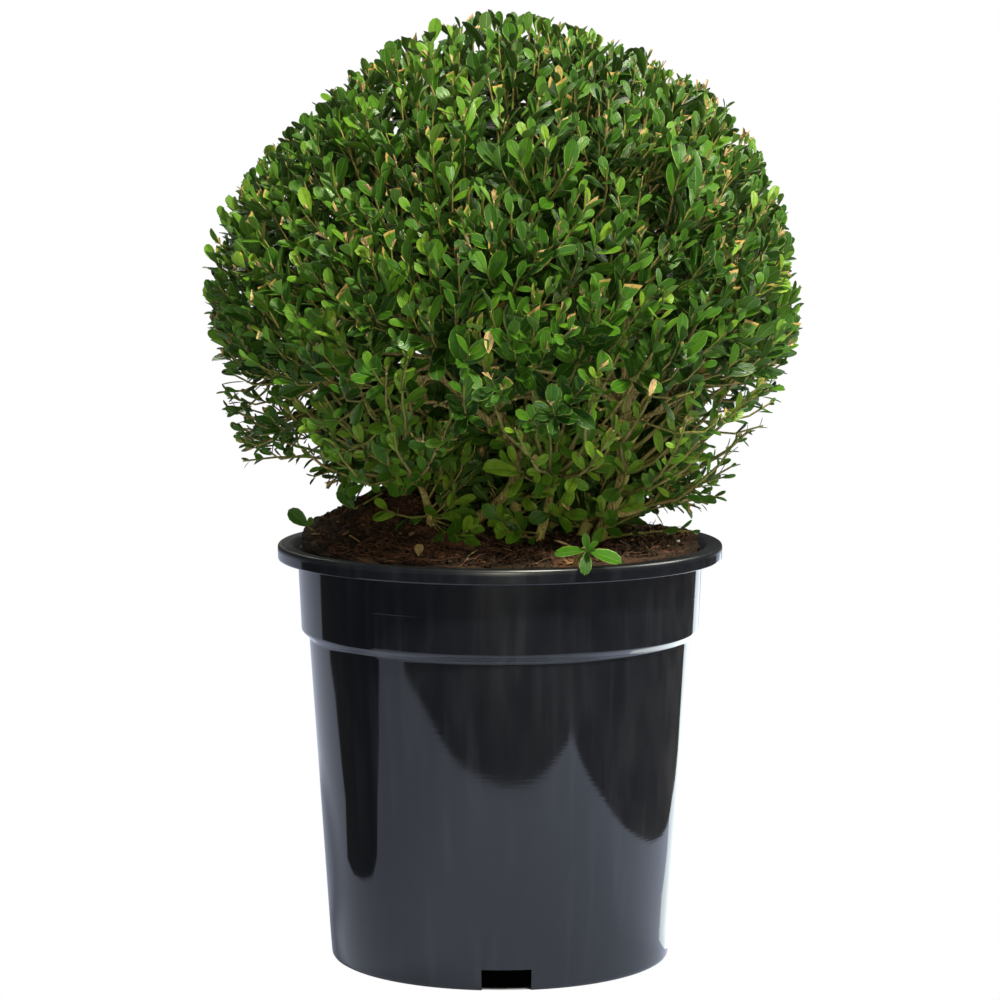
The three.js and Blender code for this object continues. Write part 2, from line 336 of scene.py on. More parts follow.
def held(profile, hold=0.5 * MM, stretch=15 * MM, long_run=3 * MM):
    """Adds points along the long straight runs, so that their shading stays straight."""
    full = [profile[0]]
    for start, end in zip(profile, profile[1:]):
        length = (end - start).length
        if length > long_run:
            parts = math.ceil(length / stretch)
            inner = [hold, *(length * k / parts for k in range(1, parts)), length - hold]
            full += [start.lerp(end, far / length) for far in inner]
        full.append(end)
    return full


def pot_profile():
    """The turned profile, and the two places on it where the notches end."""
    slope = (BODY_TOP_RADIUS - FOOT_RADIUS) / (BODY_TOP - FOOT_EASE)
    wall_at_notch = FOOT_RADIUS + slope * (NOTCH_HEIGHT - FOOT_EASE)
    top = POT_HEIGHT
    under = [(0, PLATE_UNDERSIDE, 0), (FOOT_RADIUS - 2.6 * MM, PLATE_UNDERSIDE, 1.2 * MM)]
    foot = [
        (FOOT_RADIUS - 2.4 * MM, NOTCH_HEIGHT, 0),
        (FOOT_RADIUS - FOOT_RING, 0, 0.6 * MM),
        (FOOT_RADIUS - 0.35 * MM, 0, 2.3 * MM),
        (wall_at_notch, NOTCH_HEIGHT, 0),
    ]
    outside = [
        (BODY_TOP_RADIUS, BODY_TOP, 0.9 * MM),
        (COLLAR_FOOT_RADIUS, COLLAR_FOOT, 0.8 * MM),
        (COLLAR_TOP_RADIUS, top - WALL, 2 * MM),
        (RIM_RADIUS - WALL, top - WALL, 1.5 * MM),
        (RIM_RADIUS - WALL, top - RIM_SKIRT, 0.5 * MM),
        (RIM_RADIUS - 0.2 * MM, top - RIM_SKIRT, 0.9 * MM),
        (RIM_RADIUS, top, 2.2 * MM),
        (RIM_RADIUS - RIM_WIDTH, top - 0.2 * MM, 2.4 * MM),
        (COLLAR_TOP_RADIUS - WALL, top - 7 * MM, 2 * MM),
        (COLLAR_FOOT_RADIUS - WALL, COLLAR_FOOT, 1 * MM),
        (BODY_TOP_RADIUS - WALL, BODY_TOP, 1 * MM),
        (FOOT_RADIUS - WALL, PLATE_UNDERSIDE + PLATE_THICKNESS, 1 * MM),
        (0, PLATE_UNDERSIDE + PLATE_THICKNESS, 0),
    ]
    profile = held(rounded(under + foot + outside))
    marks = [i for i, p in enumerate(profile) if abs(p.y - NOTCH_HEIGHT) < 1e-9]
    return profile, marks[0], marks[1]


def pot_angles():
    """The angles round the pot, with a facet edge exactly on each side of each notch."""
    half = math.asin(NOTCH_WIDTH / 2 / FOOT_RADIUS)
    turn = 2 * math.pi / NOTCH_COUNT
    angles, in_notch = [], []
    for i in range(NOTCH_COUNT):
        start = FRONT_NOTCH + i * turn - half
        angles += [start + 2 * half * k / NOTCH_FACETS for k in range(NOTCH_FACETS)]
        angles += [start + 2 * half + (turn - 2 * half) * k / WALL_FACETS for k in range(WALL_FACETS)]
        in_notch += [True] * NOTCH_FACETS + [False] * WALL_FACETS
    return angles, in_notch


def pot_shell(finish):
    """The pot, turned on its axis, with the notches left out of its foot ring."""
    profile, inner, outer = pot_profile()
    angles, in_notch = pot_angles()
    count = len(angles)
    points = [around(p.x, a, p.y) for p in profile for a in angles]
    faces = []
    for ring in range(len(profile) - 1):
        for k in range(count):
            after = (k + 1) % count
            if in_notch[k] and inner <= ring < outer:
                continue
            below, above = ring * count, (ring + 1) * count
            faces.append((below + k, below + after, above + after, above + k))
    for k in range(count):
        after = (k + 1) % count
        if in_notch[k]:
            faces.append((inner * count + k, inner * count + after,
                          outer * count + after, outer * count + k))
        if in_notch[k] != in_notch[k - 1]:
            side = [ring * count + k for ring in range(inner, outer + 1)]
            faces.append(side if in_notch[k] else side[::-1])
    pot = mesh_object("pot_shell", points, faces, finish=finish)
    welded = bmesh.new()
    welded.from_mesh(pot.data)
    bmesh.ops.remove_doubles(welded, verts=welded.verts, dist=1e-6)
    bmesh.ops.recalc_face_normals(welded, faces=welded.faces)
    welded.to_mesh(pot.data)
    welded.free()
    drill_out(pot)
    return smooth(pot, sharper_than=38)


def drill_out(pot):
    """Cuts the drain holes through the base plate: a ring of them and one in the middle."""
    drill = bmesh.new()
    for i in range(DRAIN_HOLES + 1):
        turn = (i + 0.5) * 2 * math.pi / DRAIN_HOLES
        ring = DRAIN_RING if i < DRAIN_HOLES else 0
        place = Matrix.Translation(around(ring, turn, PLATE_UNDERSIDE))
        bmesh.ops.create_cone(drill, cap_ends=True, segments=32, radius1=DRAIN_RADIUS,
                              radius2=DRAIN_RADIUS, depth=9 * MM, matrix=place)
    cutter = bpy.data.objects.new("drill", mesh_from(drill, "drill"))
    bpy.context.scene.collection.objects.link(cutter)
    cut = pot.modifiers.new("drain_holes", "BOOLEAN")
    cut.operation = "DIFFERENCE"
    cut.solver = "EXACT"
    cut.object = cutter
    baked_down(pot)
    bpy.data.objects.remove(cutter)


MOULD_LINES = (22 * MM, COLLAR_FOOT + 21 * MM)


def plastic_finish():
    f = Finish("black_plastic")
    height = f.part(f.place, "Z")
    streaks = f.noise(f.stretched(f.place, (120, 120, 10)), 1.0, 5)
    clouds = f.noise(f.place, 16, 4)
    scuffs = f.noise(f.stretched(f.place, (30, 30, 240)), 1.0, 6, 0.7)
    lines = sum((height - z).size().ramp(0.15 * MM, 0.5 * MM, 1.0, 0.0) for z in MOULD_LINES)
    colour = f.mix(streaks.ramp(0.45, 0.75), (0.0035, 0.0042, 0.0065), (0.008, 0.0088, 0.0115))
    roughness = clouds.ramp(0.35, 0.7, 0.045, 0.085) + streaks.ramp(0.58, 0.8, 0.0, 0.06)
    roughness = roughness + scuffs.ramp(0.66, 0.8, 0.0, 0.12)
    roughness = roughness + height.ramp(POT_HEIGHT - 4.5 * MM, POT_HEIGHT - 2.5 * MM, 0.0, 0.28)
    ripples = f.noise(f.stretched(f.place, (50, 50, 1000)), 1.0, 2)
    relief = f.noise(f.place, 11, 1) * 0.4 + lines * 0.02 + ripples * 0.008
    return f.surface(Base_Color=colour, Roughness=roughness, Normal=f.bump(relief, 0.001))


# ---------------------------------------------------------------- compost
soil_skin = skin_of("soil")
SOIL_EDGE = COLLAR_TOP_RADIUS - WALL - 0.4 * MM
SOIL_FLOOR = PLATE_UNDERSIDE + PLATE_THICKNESS + 0.3 * MM
SOIL_RINGS = 92
SOIL_FACETS = 300
SOIL_REACH = 108 * MM         # the CAD solid's surface is read no further out than this
ABOVE_SOIL = 0.4


def soil_height(x, y):
    """Height of the compost's surface, found on the CAD solid."""
    inside = min(1, SOIL_REACH / max(math.hypot(x, y), 1e-9))
    hit = soil_skin.ray_cast(Vector((x * inside, y * inside, ABOVE_SOIL)), -UP)
    return hit[0].z


def compost_bed(finish):
    """The crumbly surface of the compost, closed by a plain block down inside the pot."""
    points, faces = [Vector((0, 0, soil_height(0, 0)))], []
    for ring in range(1, SOIL_RINGS + 1):
        radius = SOIL_EDGE * ring / SOIL_RINGS
        for k in range(SOIL_FACETS):
            turn = 2 * math.pi * k / SOIL_FACETS
            x, y = radius * math.cos(turn), radius * math.sin(turn)
            lumps = 1.7 * rough_noise((x, y, 0), 17 * MM) + 1.3 * rough_noise((x, y, 9), 4.5 * MM, 5)
            points.append(Vector((x, y, soil_height(x, y) + (lumps - 0.6) * MM)))
    down = ((COLLAR_FOOT, COLLAR_FOOT_RADIUS), (BODY_TOP, BODY_TOP_RADIUS), (SOIL_FLOOR, FOOT_RADIUS))
    for height, radius in down:
        for k in range(SOIL_FACETS):
            points.append(around(radius - WALL - 0.4 * MM, 2 * math.pi * k / SOIL_FACETS, height))
    rings = SOIL_RINGS + len(down)
    for k in range(SOIL_FACETS):
        after = (k + 1) % SOIL_FACETS
        faces.append((0, 1 + k, 1 + after))
        for ring in range(rings - 1):
            inside, outside = 1 + ring * SOIL_FACETS, 1 + (ring + 1) * SOIL_FACETS
            faces.append((inside + k, outside + k, outside + after, inside + after))
    faces.append(tuple(reversed(range(1 + (rings - 1) * SOIL_FACETS, 1 + rings * SOIL_FACETS))))
    return smooth(mesh_object("compost_bed", points, faces, finish=finish), sharper_than=60)


def compost_finish(name, dark, light, warm):
    f = Finish(name)
    crumbs = f.noise(f.place, 420, 5, 0.65)
    patches = f.noise(f.place, 38, 3)
    colour = f.mix(crumbs.ramp(0.36, 0.68), dark, light)
    colour = f.mix(patches.ramp(0.48, 0.72), colour, warm)
    return f.surface(Base_Color=colour, Roughness=patches.ramp(0.3, 0.7, 0.95, 0.75),
                     Specular_IOR_Level=0.18, Normal=f.bump(crumbs, 0.0024))


def crumb_shape(name, seed, squash=(1, 1, 1)):
    """A small angular lump, one unit across, for scattering."""
    lump = bmesh.new()
    bmesh.ops.create_icosphere(lump, subdivisions=1, radius=0.5)
    for vert in lump.verts:
        vert.co *= 1 + 0.38 * noise.noise(vert.co * 3.1 + Vector((seed * 7.3, 0, 0)))
        vert.co = Vector((c * s for c, s in zip(vert.co, squash)))
    return mesh_from(lump, name)


def fibre_shape(name, bend, steps=5):
    """A root fibre one unit long: a thin three-sided strip bent along its length."""
    points, faces = [], []
    for i in range(steps + 1):
        t = i / steps - 0.5
        centre = Vector((bend * (0.25 - t * t), t, 0.16 * bend * math.sin(5 * t)))
        for k in range(3):
            turn = 2 * math.pi * k / 3
            thickness = 0.021 * (1 - 1.6 * abs(t))
            points.append(centre + Vector((thickness * math.cos(turn), 0, thickness * math.sin(turn))))
    for i in range(steps):
        for k in range(3):
            a, b = i * 3 + k, i * 3 + (k + 1) % 3
            faces.append((a, b, b + 3, a + 3))
    faces += [(2, 1, 0), tuple(3 * steps + k for k in range(3))]
    mesh = bpy.data.meshes.new(name)
    mesh.from_pydata([tuple(p) for p in points], [], faces)
    return mesh


# ---------------------------------------------------------------- limbs
# Each limb: where it starts, its tip, how far along it is pushed aside and by how much,
# and its thickness at both ends, in mm. A start of two numbers stands in the compost.
LIMBS = {
    "stem_right": ((53, -8), (71, -38, 318), 0.45, (7, -2, 0), (7.6, 5.2)),
    "stem_front": ((-19, 9), (-11, -32, 316), 0.36, (22, -1, -1), (6, 4)),
    "stem_middle": ((21, -12), (31, -34, 284), 0.5, (1, 3, 0), (5, 3.4)),
    "stem_left": ((-30, 14), (-42, 0, 318), 0.5, (2, 4, 0), (6, 4)),
    "stem_far_left": ((-39, -9), (-50, -28, 284), 0.5, (2, 3, 0), (4.6, 3)),
    "stem_back": ((-6, 34), (-20, 62, 316), 0.5, (3, 3, 0), (6.4, 4.4)),
    "stem_back_left": ((-38, 42), (-56, 70, 286), 0.5, (-3, 3, 0), (5, 3.4)),
    "stem_back_right": ((28, 30), (60, 70, 288), 0.5, (-2, 5, 0), (6, 4)),
    "stem_far_right": ((46, 14), (96, 30, 312), 0.5, (-6, 0, -4), (6, 4)),
    "stem_centre": ((8, 12), (22, 16, 318), 0.5, (-3, 2, 0), (6.6, 4.6)),
    "bough_left": ((-54, 24), (-86, 14, 282), 0.5, (3, 3, 4), (5, 3.2)),
    "bough_right": (("stem_right", 0.24), (98, -14, 276), 0.5, (2, -3, -5), (3.6, 2.6)),
    "shoot_rim": ((41, -98), (49, -119, 250), 0.5, (-1, 0, 4), (2.2, 1.8)),
}


class Route:
    """A bent limb or twig: a curve from its foot to its tip, with a taper and a wobble.

    flare widens the foot by this share when the route is drawn.
    """

    def __init__(self, foot, pull, tip, thick, wobble=0.0):
        self.foot, self.pull, self.tip = foot, pull, tip
        self.thick = thick
        self.wobble = wobble
        self.flare = 0.0
        self.shift = chance.uniform(0, 100)
        sides = (pull - foot).length * 0.5 + (tip - foot).length * 0.5 + (tip - pull).length * 0.5
        self.length = sides * (2 / 3)

    def point(self, t):
        p = (1 - t) ** 2 * self.foot + 2 * t * (1 - t) * self.pull + t * t * self.tip
        if self.wobble:
            side = Vector(noise.noise(Vector((self.shift, t * 3.2, 7.7 * k))) for k in range(3))
            p = p + side * self.wobble * math.sin(math.pi * t)
        return p

    def heading(self, t):
        return (2 * (1 - t) * (self.pull - self.foot) + 2 * t * (self.tip - self.pull)).normalized()

    def thickness(self, t):
        return self.thick[0] + (self.thick[1] - self.thick[0]) * t


def limb_route(name):
    start, tip, at, bow, thick = LIMBS[name]
    tip = Vector(tip) * MM
    if isinstance(start[0], str):
        foot = limb_routes[start[0]].point(start[1])
    else:
        foot = Vector((start[0] * MM, start[1] * MM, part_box(name)[0].z))
    bend = foot.lerp(tip, at) + Vector(bow) * MM
    pull = (bend - (1 - at) ** 2 * foot - at ** 2 * tip) / (2 * at * (1 - at))
    return Route(foot, pull, tip, [t * MM for t in thick])


limb_routes = {}
for limb_name in LIMBS:
    limb_routes[limb_name] = limb_route(limb_name)


# ---------------------------------------------------------------- branching
CROWN = Vector((3, 0.6, 369.5)) * MM
crown_skin = skin_of("crown_ball")


def reach(direction):
    """Distance from the crown's middle to its clipped surface."""
    hit = crown_skin.ray_cast(CROWN, direction)
    return (hit[0] - CROWN).length


def any_direction():
    return Vector(chance.normal(size=3)).normalized()


def spread_directions(count, jitter):
    """Directions spread evenly over a sphere, each moved a little."""
    for i in range(count):
        z = 1 - 2 * (i + 0.5) / count
        turn = i * math.pi * (3 - math.sqrt(5))
        side = math.sqrt(1 - z * z)
        yield (around(side, turn, z) + jitter * any_direction()).normalized()


def blended(way, share, up, loose):
    """A direction made of a share of this way, some upwards and some of any direction."""
    return (share * way + up * UP + loose * any_direction()).normalized()


SPOTS_ON_PARENT = 7
SPOTS_TRIED = 30
CROWDED = 12 * MM             # a twig that starts nearer to its tip than this costs more


def branch_out(parents, targets, low, thick, wobble=2 * MM, steep=0.6):
    """Grows a route to each (tip, final heading) from the best-placed spot on a parent.

    The best spot is near and below, and leads on in the parent's own direction.
    """
    spots = [(r, t) for r in parents for t in np.linspace(low, 1, SPOTS_ON_PARENT).tolist()]
    nearby = KDTree(len(spots))
    for i, (route, t) in enumerate(spots):
        nearby.insert(route.point(t), i)
    nearby.balance()
    grown = []
    for tip, heading in targets:
        best, cost = None, math.inf
        for place, i, far in nearby.find_n(tip, SPOTS_TRIED):
            route, t = spots[i]
            way = (tip - place).normalized()
            this = far * (1.6 + steep - way.dot(route.heading(t)) - steep * way.z)
            this += 0.02 if far < CROWDED else 0
            if this < cost:
                best, cost = (route, t, place, far), this
        route, t, place, far = best
        lead = place + route.heading(t) * far * 0.3
        pull = lead * 0.3 + (tip - heading * far * 0.55) * 0.7
        foot_thick = min(thick[0], route.thickness(t) * 0.9)
        grown.append(Route(place, pull, tip, (foot_thick, min(thick[1], foot_thick)), wobble))
    return grown


def shoots_to(aims, parents, *growth):
    """Grows a shoot to each (tip, heading, outward) aim. Gives (shoot, outward) pairs."""
    aims = list(aims)
    grown = branch_out(parents, [aim[:2] for aim in aims], *growth)
    return list(zip(grown, [aim[2] for aim in aims]))


def leader(limb):
    """The bough that carries a limb on inside the ball."""
    start, heading = limb.tip, limb.heading(1)
    out = Vector((start.x - CROWN.x, start.y - CROWN.y, 0)).normalized()
    way = heading * 0.6 + UP * 0.35 + out * 0.25 + any_direction() * 0.12
    return Route(start, start + heading * 38 * MM, start + way * 84 * MM,
                 (limb.thick[1], 2.8 * MM), 2 * MM)


def inner_tips(count, jitter, lowest, share, up, loose):
    """(tip, heading) pairs at a share of the way from the middle of the ball to its surface."""
    for way in spread_directions(count, jitter):
        if way.z > lowest:
            far = reach(way) * chance.uniform(*share)
            yield CROWN + way * far, blended(way, 1, up, loose)


def crown_boughs():
    """The boughs and twigs inside the ball, level by level."""
    leaders = [leader(limb) for limb in crown_limbs]
    tips = list(inner_tips(74, 0.2, -0.42, (0.4, 0.52), 0.5, 0.2))
    boughs = leaders + branch_out(crown_limbs + leaders, tips, 0.4, (3.4 * MM, 2.4 * MM), 4 * MM)
    tips = list(inner_tips(360, 0.14, -0.62, (0.66, 0.76), 0.4, 0.3))
    return boughs, branch_out(boughs + crown_limbs, tips, 0.45, (2.4 * MM, 1.6 * MM), 3 * MM)


SEEN_STEMS = ("stem_right", "stem_front", "stem_middle", "stem_far_left")
STEM_LANE = 19 * MM           # how far to each side of a seen stem the shoots thin out
FRONT_HALF = 12 * MM          # low shoots are few on the near side of this
THINS_BELOW = 372 * MM        # the front of the ball opens up from here down
THINS_OVER = 56 * MM
OPEN_WIDTH = 128 * MM         # half of the open front's width
CLUMP = 24 * MM


def stem_in_view(tip):
    """From 0 to 1 for a tip that would hide one of the front stems."""
    hides = 0.0
    for limb in (limb_routes[name] for name in SEEN_STEMS):
        along = (tip.z - limb.foot.z) / (limb.tip.z - limb.foot.z)
        behind = limb.point(min(1, along))
        if along > 1:
            behind = limb.tip + limb.heading(1) * (tip.z - limb.tip.z)
        if 0 < along < 1.7 and tip.y < behind.y:
            hides = max(hides, 1 - abs(tip.x - behind.x) / STEM_LANE)
    return hides


def on_flank(way):
    """Whether a direction points at the thin lower flanks of the ball."""
    return abs(way.x + 0.1) > 0.55 and -0.62 < way.z < -0.12


def fullness(way, tip, clumped=0.0):
    """The chance that a shoot stands at a place on the ball; below 0 there is never one."""
    low = min(1, max(0, (THINS_BELOW - tip.z) / THINS_OVER))
    front = min(1, max(0, -1.6 * way.y)) * max(0, 1 - (abs(tip.x) / OPEN_WIDTH) ** 4)
    under = max(0, -way.z - 0.5) * (1.0 if way.y < 0.15 else 0.3)
    clumps = min(1, max(0.4, 1 + clumped * (noise.noise(tip / CLUMP) - 0.1)))
    loose = 0.45 if on_flank(way) else 0
    return clumps - 0.85 * low * front - 0.9 * under - loose - 0.9 * stem_in_view(tip)


def surface_aims(count):
    """Tips at the clipped surface, a little short of it here and there."""
    for way in spread_directions(count, 0.035):
        above, right = max(0, way.z), max(0, way.x)
        tip = CROWN + way * reach(way) * (chance.uniform(0.935, 0.995 - 0.035 * above)
                                          + 0.08 * right * above)
        if chance.random() > fullness(way, tip, 1.3) or (way.x > 0.5 and way.z < -0.34):
            continue
        yield tip, blended(way, 0.42, 1.0 - 0.5 * above, 0.3), way


def inner_aims(count, low, high):
    """Tips short of the surface, which fill the ball out behind it."""
    for way in spread_directions(count, 0.1):
        tip = CROWN + way * reach(way) * chance.uniform(low, high)
        if chance.random() > fullness(way, tip) or (tip.z < 335 * MM and tip.y < 10 * MM):
            continue
        yield tip, blended(way, 0.7, 0.5, 0.4), way


# Low sprays: the limb that each hangs on and its number of shoots.
SPRAYS = {
    "spray_left": ("bough_left", 20),
    "spray_right": ("bough_right", 34),
    "spray_front_left": ("stem_far_left", 7),
    "spray_front": ("stem_middle", 7),
    "spray_back_left": ("stem_back_left", 46),
    "spray_back_right": ("stem_back_right", 56),
    "sprig_rim": ("shoot_rim", 5),
}


def spray_shoots(name):
    """Shoots that fan out from a low limb inside the outline of its spray."""
    limb, count = SPRAYS[name]
    low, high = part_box(name)
    middle, half = (low + high) / 2, (high - low) / 2
    start = limb_routes[limb].point(0.5)
    aims = []
    for way in spread_directions(count, 0.3):
        size = chance.uniform(0.45, 0.92)
        tip = middle + Vector((w * h * size for w, h in zip(way, half)))
        out = (tip - start).normalized()
        aims.append((tip, (out + 0.4 * way + 0.25 * any_direction()).normalized(), way))
    return shoots_to(aims, [limb_routes[limb]], 0.35, (1.4 * MM, 0.9 * MM), 3 * MM)


SKIRT_FOOT = 246              # height where the lowest shoots round the stems end, in mm


def skirt_aims(count):
    """Tips low round the stems: dense behind, few in front, wider apart higher up."""
    while count:
        high = SKIRT_FOOT + 78 * chance.random() ** 1.3
        tip = Vector((chance.uniform(-105, 118), chance.uniform(-72, 118), high)) * MM
        out = Vector((tip.x - 8 * MM, tip.y - 8 * MM, 0))
        widest = 66 * MM + 0.95 * (tip.z - SKIRT_FOOT * MM)
        share = 1.0 if tip.y >= FRONT_HALF else 0.05
        if out.length > widest or chance.random() > share * (0.3 + out.length / widest):
            continue
        if tip.z < soil_height(tip.x, tip.y) + 8 * MM:
            continue
        way = (out.normalized() + 0.3 * UP).normalized()
        yield tip, blended(way, 0.7, 0.7, 0.5), way
        count -= 1


def front_aims(count):
    """Tips in the open front of the ball, for long thin twigs from the stems."""
    for way in spread_directions(900, 0.05):
        tip = CROWN + way * reach(way) * chance.uniform(0.82, 0.97)
        if way.y > -0.35 or not 292 * MM < tip.z < 392 * MM or not count:
            continue
        if chance.random() < 0.35:
            yield tip, blended(way, 0.35, 1, 0.25), way
            count -= 1


# Twigs that stand out one by one: where each starts (a limb and how far up it), the point
# it bends towards, its tip, its thickness at both ends, and the leafy length, in mm.
LONE_TWIGS = (
    (("bough_right", 1.0), (122, -20, 286), (142, -20, 306), (2.6, 1.4), 46),
    (("bough_right", 0.55), (104, -22, 264), (124, -21, 268), (1.6, 1.0), 34),
    (("bough_right", 0.8), (112, -16, 272), (132, -12, 284), (1.8, 1.0), 34),
    (("stem_right", 0.05), (84, -16, 249), (111, -15, 247), (1.8, 1.0), 40),
    (("stem_right", 0.1), (90, 14, 262), (113, 26, 258), (1.8, 1.0), 36),
    (("bough_left", 1.0), (-102, 18, 298), (-127, 18, 326), (3.2, 2.0), 20),
    (("bough_left", 0.9), (-108, 12, 291), (-148, 9, 285), (1.8, 1.0), 44),
    (("bough_left", 1.0), (-120, 10, 297), (-146, 14, 300), (1.8, 1.0), 40),
    (("stem_front", 0.3), (14, -24, 262), (30, -40, 277), (2.2, 1.2), 26),
    (("stem_middle", 0.35), (32, -30, 262), (44, -42, 282), (2.0, 1.2), 30),
    (("stem_far_left", 0.2), (-56, -22, 254), (-66, -30, 262), (1.8, 1.0), 26),
    (("stem_left", 0.3), (-44, -2, 270), (-62, -18, 290), (2.2, 1.2), 34),
    (("stem_front", 0.55), (-2, -34, 296), (12, -56, 318), (2.2, 1.2), 34),
    (("stem_right", 0.5), (60, -40, 300), (44, -62, 322), (2.2, 1.2), 36),
    (("stem_middle", 0.1), (14, -34, 246), (2, -52, 252), (1.6, 1.0), 20),
    (("stem_far_left", 0.05), (-30, -28, 242), (-18, -44, 248), (1.6, 1.0), 18),
)


def lone_twig(start, pull, tip, thick):
    limb, along = start
    foot = limb_routes[limb].point(along)
    return Route(foot, Vector(pull) * MM, Vector(tip) * MM, [t * MM for t in thick], 1 * MM)


# Sprigs with a few leaves of their own: foot, where the leaves sit, and for each leaf the
# way it points and its length, in mm.
FEW_LEAVED = (
    ((41, -98, 240), (47, -120, 249), (
        ((-0.1, -0.3, 1.0), 10), ((0.7, -0.2, 0.7), 8), ((0.96, -0.3, -0.22), 20),
        ((-0.1, -0.55, -0.9), 14), ((-0.95, 0.1, -0.05), 18), ((0.3, -0.9, 0.3), 9))),
    ((-105, 4, 243), (-110, 0, 248), (((-0.75, 0.0, 0.65), 15), ((0.3, -0.1, 0.9), 6))),
    ((-68, 14, 266), (-84, 10, 257), (((-0.6, 0.1, 0.75), 15),)),
)


# ---------------------------------------------------------------- leaves
TINTS = 8
FADED = TINTS - 1             # the tint of a leaf that is dying off
FADED_SHARE = 0.004
ROWS = 4                      # atlas rows: whole, clipped, underside, withered
HALF_WIDTHS = (
    (0, 0), (0.1, 0.07), (0.3, 0.165), (0.52, 0.228), (0.74, 0.228), (0.92, 0.145), (1, 0.03))
LEAF_SHAPES = {               # width, fold up along the midrib, droop of the tip, cut at, slant
    "leaf_0_cupped": (0.98, 0.55, 0.02, 1.0, 0.0),
    "leaf_1_curled": (1.0, -0.22, 0.22, 1.0, 0.0),
    "leaf_2_flat": (1.0, 0.26, 0.10, 1.0, 0.0),
    "leaf_3_narrow": (0.62, 0.20, 0.14, 1.0, 0.0),
    "leaf_4_round": (1.3, 0.18, 0.0, 1.0, 0.0),
    "leaf_5_clipped": (0.95, 0.45, 0.04, 0.66, 0.04),
    "leaf_6_slant": (0.95, 0.4, 0.06, 0.7, 0.14),
    "leaf_7_withered": (0.6, 0.5, -0.25, 0.8, 0.1),
    "leaf_8_withered_whole": (0.95, 0.45, -0.15, 1.0, 0.0),
}
CUPPED, CURLED, FLAT, NARROW, ROUND, CLIPPED, SLANT, WITHERED, FALLEN = range(9)


def between(value, marks, amounts):
    """Reads an amount off a line of straight stretches."""
    return float(np.interp(value, marks, amounts))


def leaf_shape(name):
    """One leaf, a unit long: an upper sheet and a paler underside, each its own outline."""
    width, fold, droop, cut, slant = LEAF_SHAPES[name]
    whole = cut == 1.0
    stations = [0.1, 0.3, 0.52, 0.74, 0.92] if whole else [0.13, 0.36, cut]
    rows = (3, 3) if "withered" in name else (0 if whole else 1, 2)
    points, faces, places = [], [], []

    def lift(x, t):
        return fold * abs(x) * (1 - 0.4 * t) - droop * t * t

    def sheet(used, row, below, tucked):
        first = len(points)
        points.append((0, 0, -below))
        places.append((0.5, 0.02, row))
        for t in used:
            for side in (-1, 0, 1):
                x = side * width * between(t, *zip(*HALF_WIDTHS)) * tucked
                y = t + (slant * side if t == cut else 0)
                points.append((x, y, lift(x, t) - below * (1 - abs(side) * 0.6)))
                places.append((0.5 + 0.45 * side, t, row))
        if whole:
            points.append((0, 1, lift(0, 1) - below))
            places.append((0.5, 0.98, row))
        a = first + 1
        made = [(first, a + 1, a), (first, a + 2, a + 1)]
        for i in range(len(used) - 1):
            a = first + 1 + 3 * i
            made += [(a, a + 1, a + 4, a + 3), (a + 1, a + 2, a + 5, a + 4)]
        if whole:
            a, tip = first + 1 + 3 * (len(used) - 1), len(points) - 1
            made += [(a, a + 1, tip), (a + 1, a + 2, tip)]
        faces.extend(made if not below else [face[::-1] for face in made])

    sheet(stations, rows[0], 0.0, 1.0)
    sheet(stations[::2] if whole else stations, rows[1], 0.022, 0.985)
    mesh = bpy.data.meshes.new(name)
    mesh.from_pydata(points, [], faces)
    atlas = mesh.uv_layers.new(name="OFBake")
    for loop in mesh.loops:
        across, along, row = places[loop.vertex_index]
        atlas.data[loop.index].uv = (across / TINTS, (row + 0.03 + 0.94 * along) / ROWS)
    mesh.shade_smooth()
    return mesh


def shape_collection(name, meshes):
    """Shapes to scatter, picked by their alphabetical order."""
    shapes = bpy.data.collections.new(name)
    for mesh in meshes:
        shapes.objects.link(bpy.data.objects.new(mesh.name, mesh))
    return shapes


class Scatter:
    """Places for many small pieces of one kind: where, turned how, how large, which."""

    def __init__(self):
        self.rows = []

    def add(self, place, turn, size, shape=0, tint=0):
        size = size if isinstance(size, tuple) else (size, size, size)
        self.rows.append((place, turn, size, shape, tint))

    def grown(self, name, shapes, tree, finish):
        places, *notes = zip(*self.rows)
        points = mesh_object(name, places)
        for label, values in zip(("turn", "size", "shape", "tint"), notes):
            note(points, label, values)
        return grow(points, tree, Shapes=shapes, Material=finish)


def scatter_tree(name, with_tints):
    """Sets a picked shape on each point, and moves its place on the atlas to its tint."""
    tree, given = geometry_tree(name, {"Shapes": "Collection", "Material": "Material"})
    shapes = tree.node("GeometryNodeCollectionInfo", None, {
        "Collection": given["Shapes"], "Separate Children": True, "Reset Children": True})
    placed = tree.node("GeometryNodeInstanceOnPoints", None, {
        "Points": given["Geometry"], "Instance": shapes, "Pick Instance": True,
        "Instance Index": tree.noted("shape"), "Rotation": tree.noted("turn"),
        "Scale": tree.noted("size")})
    if with_tints:
        placed = tree.node("GeometryNodeRealizeInstances", None, {"Geometry": placed})
        column = tree.node("ShaderNodeCombineXYZ", None, {"X": tree.noted("tint") / TINTS})
        moved = tree.vector("ADD", tree.noted("OFBake"), column)
        placed = tree.node("GeometryNodeStoreNamedAttribute",
                           {"data_type": "FLOAT2", "domain": "CORNER"},
                           {"Geometry": placed, "Name": "OFBake", "Value": moved})
    return close_tree(tree, placed, given["Material"])


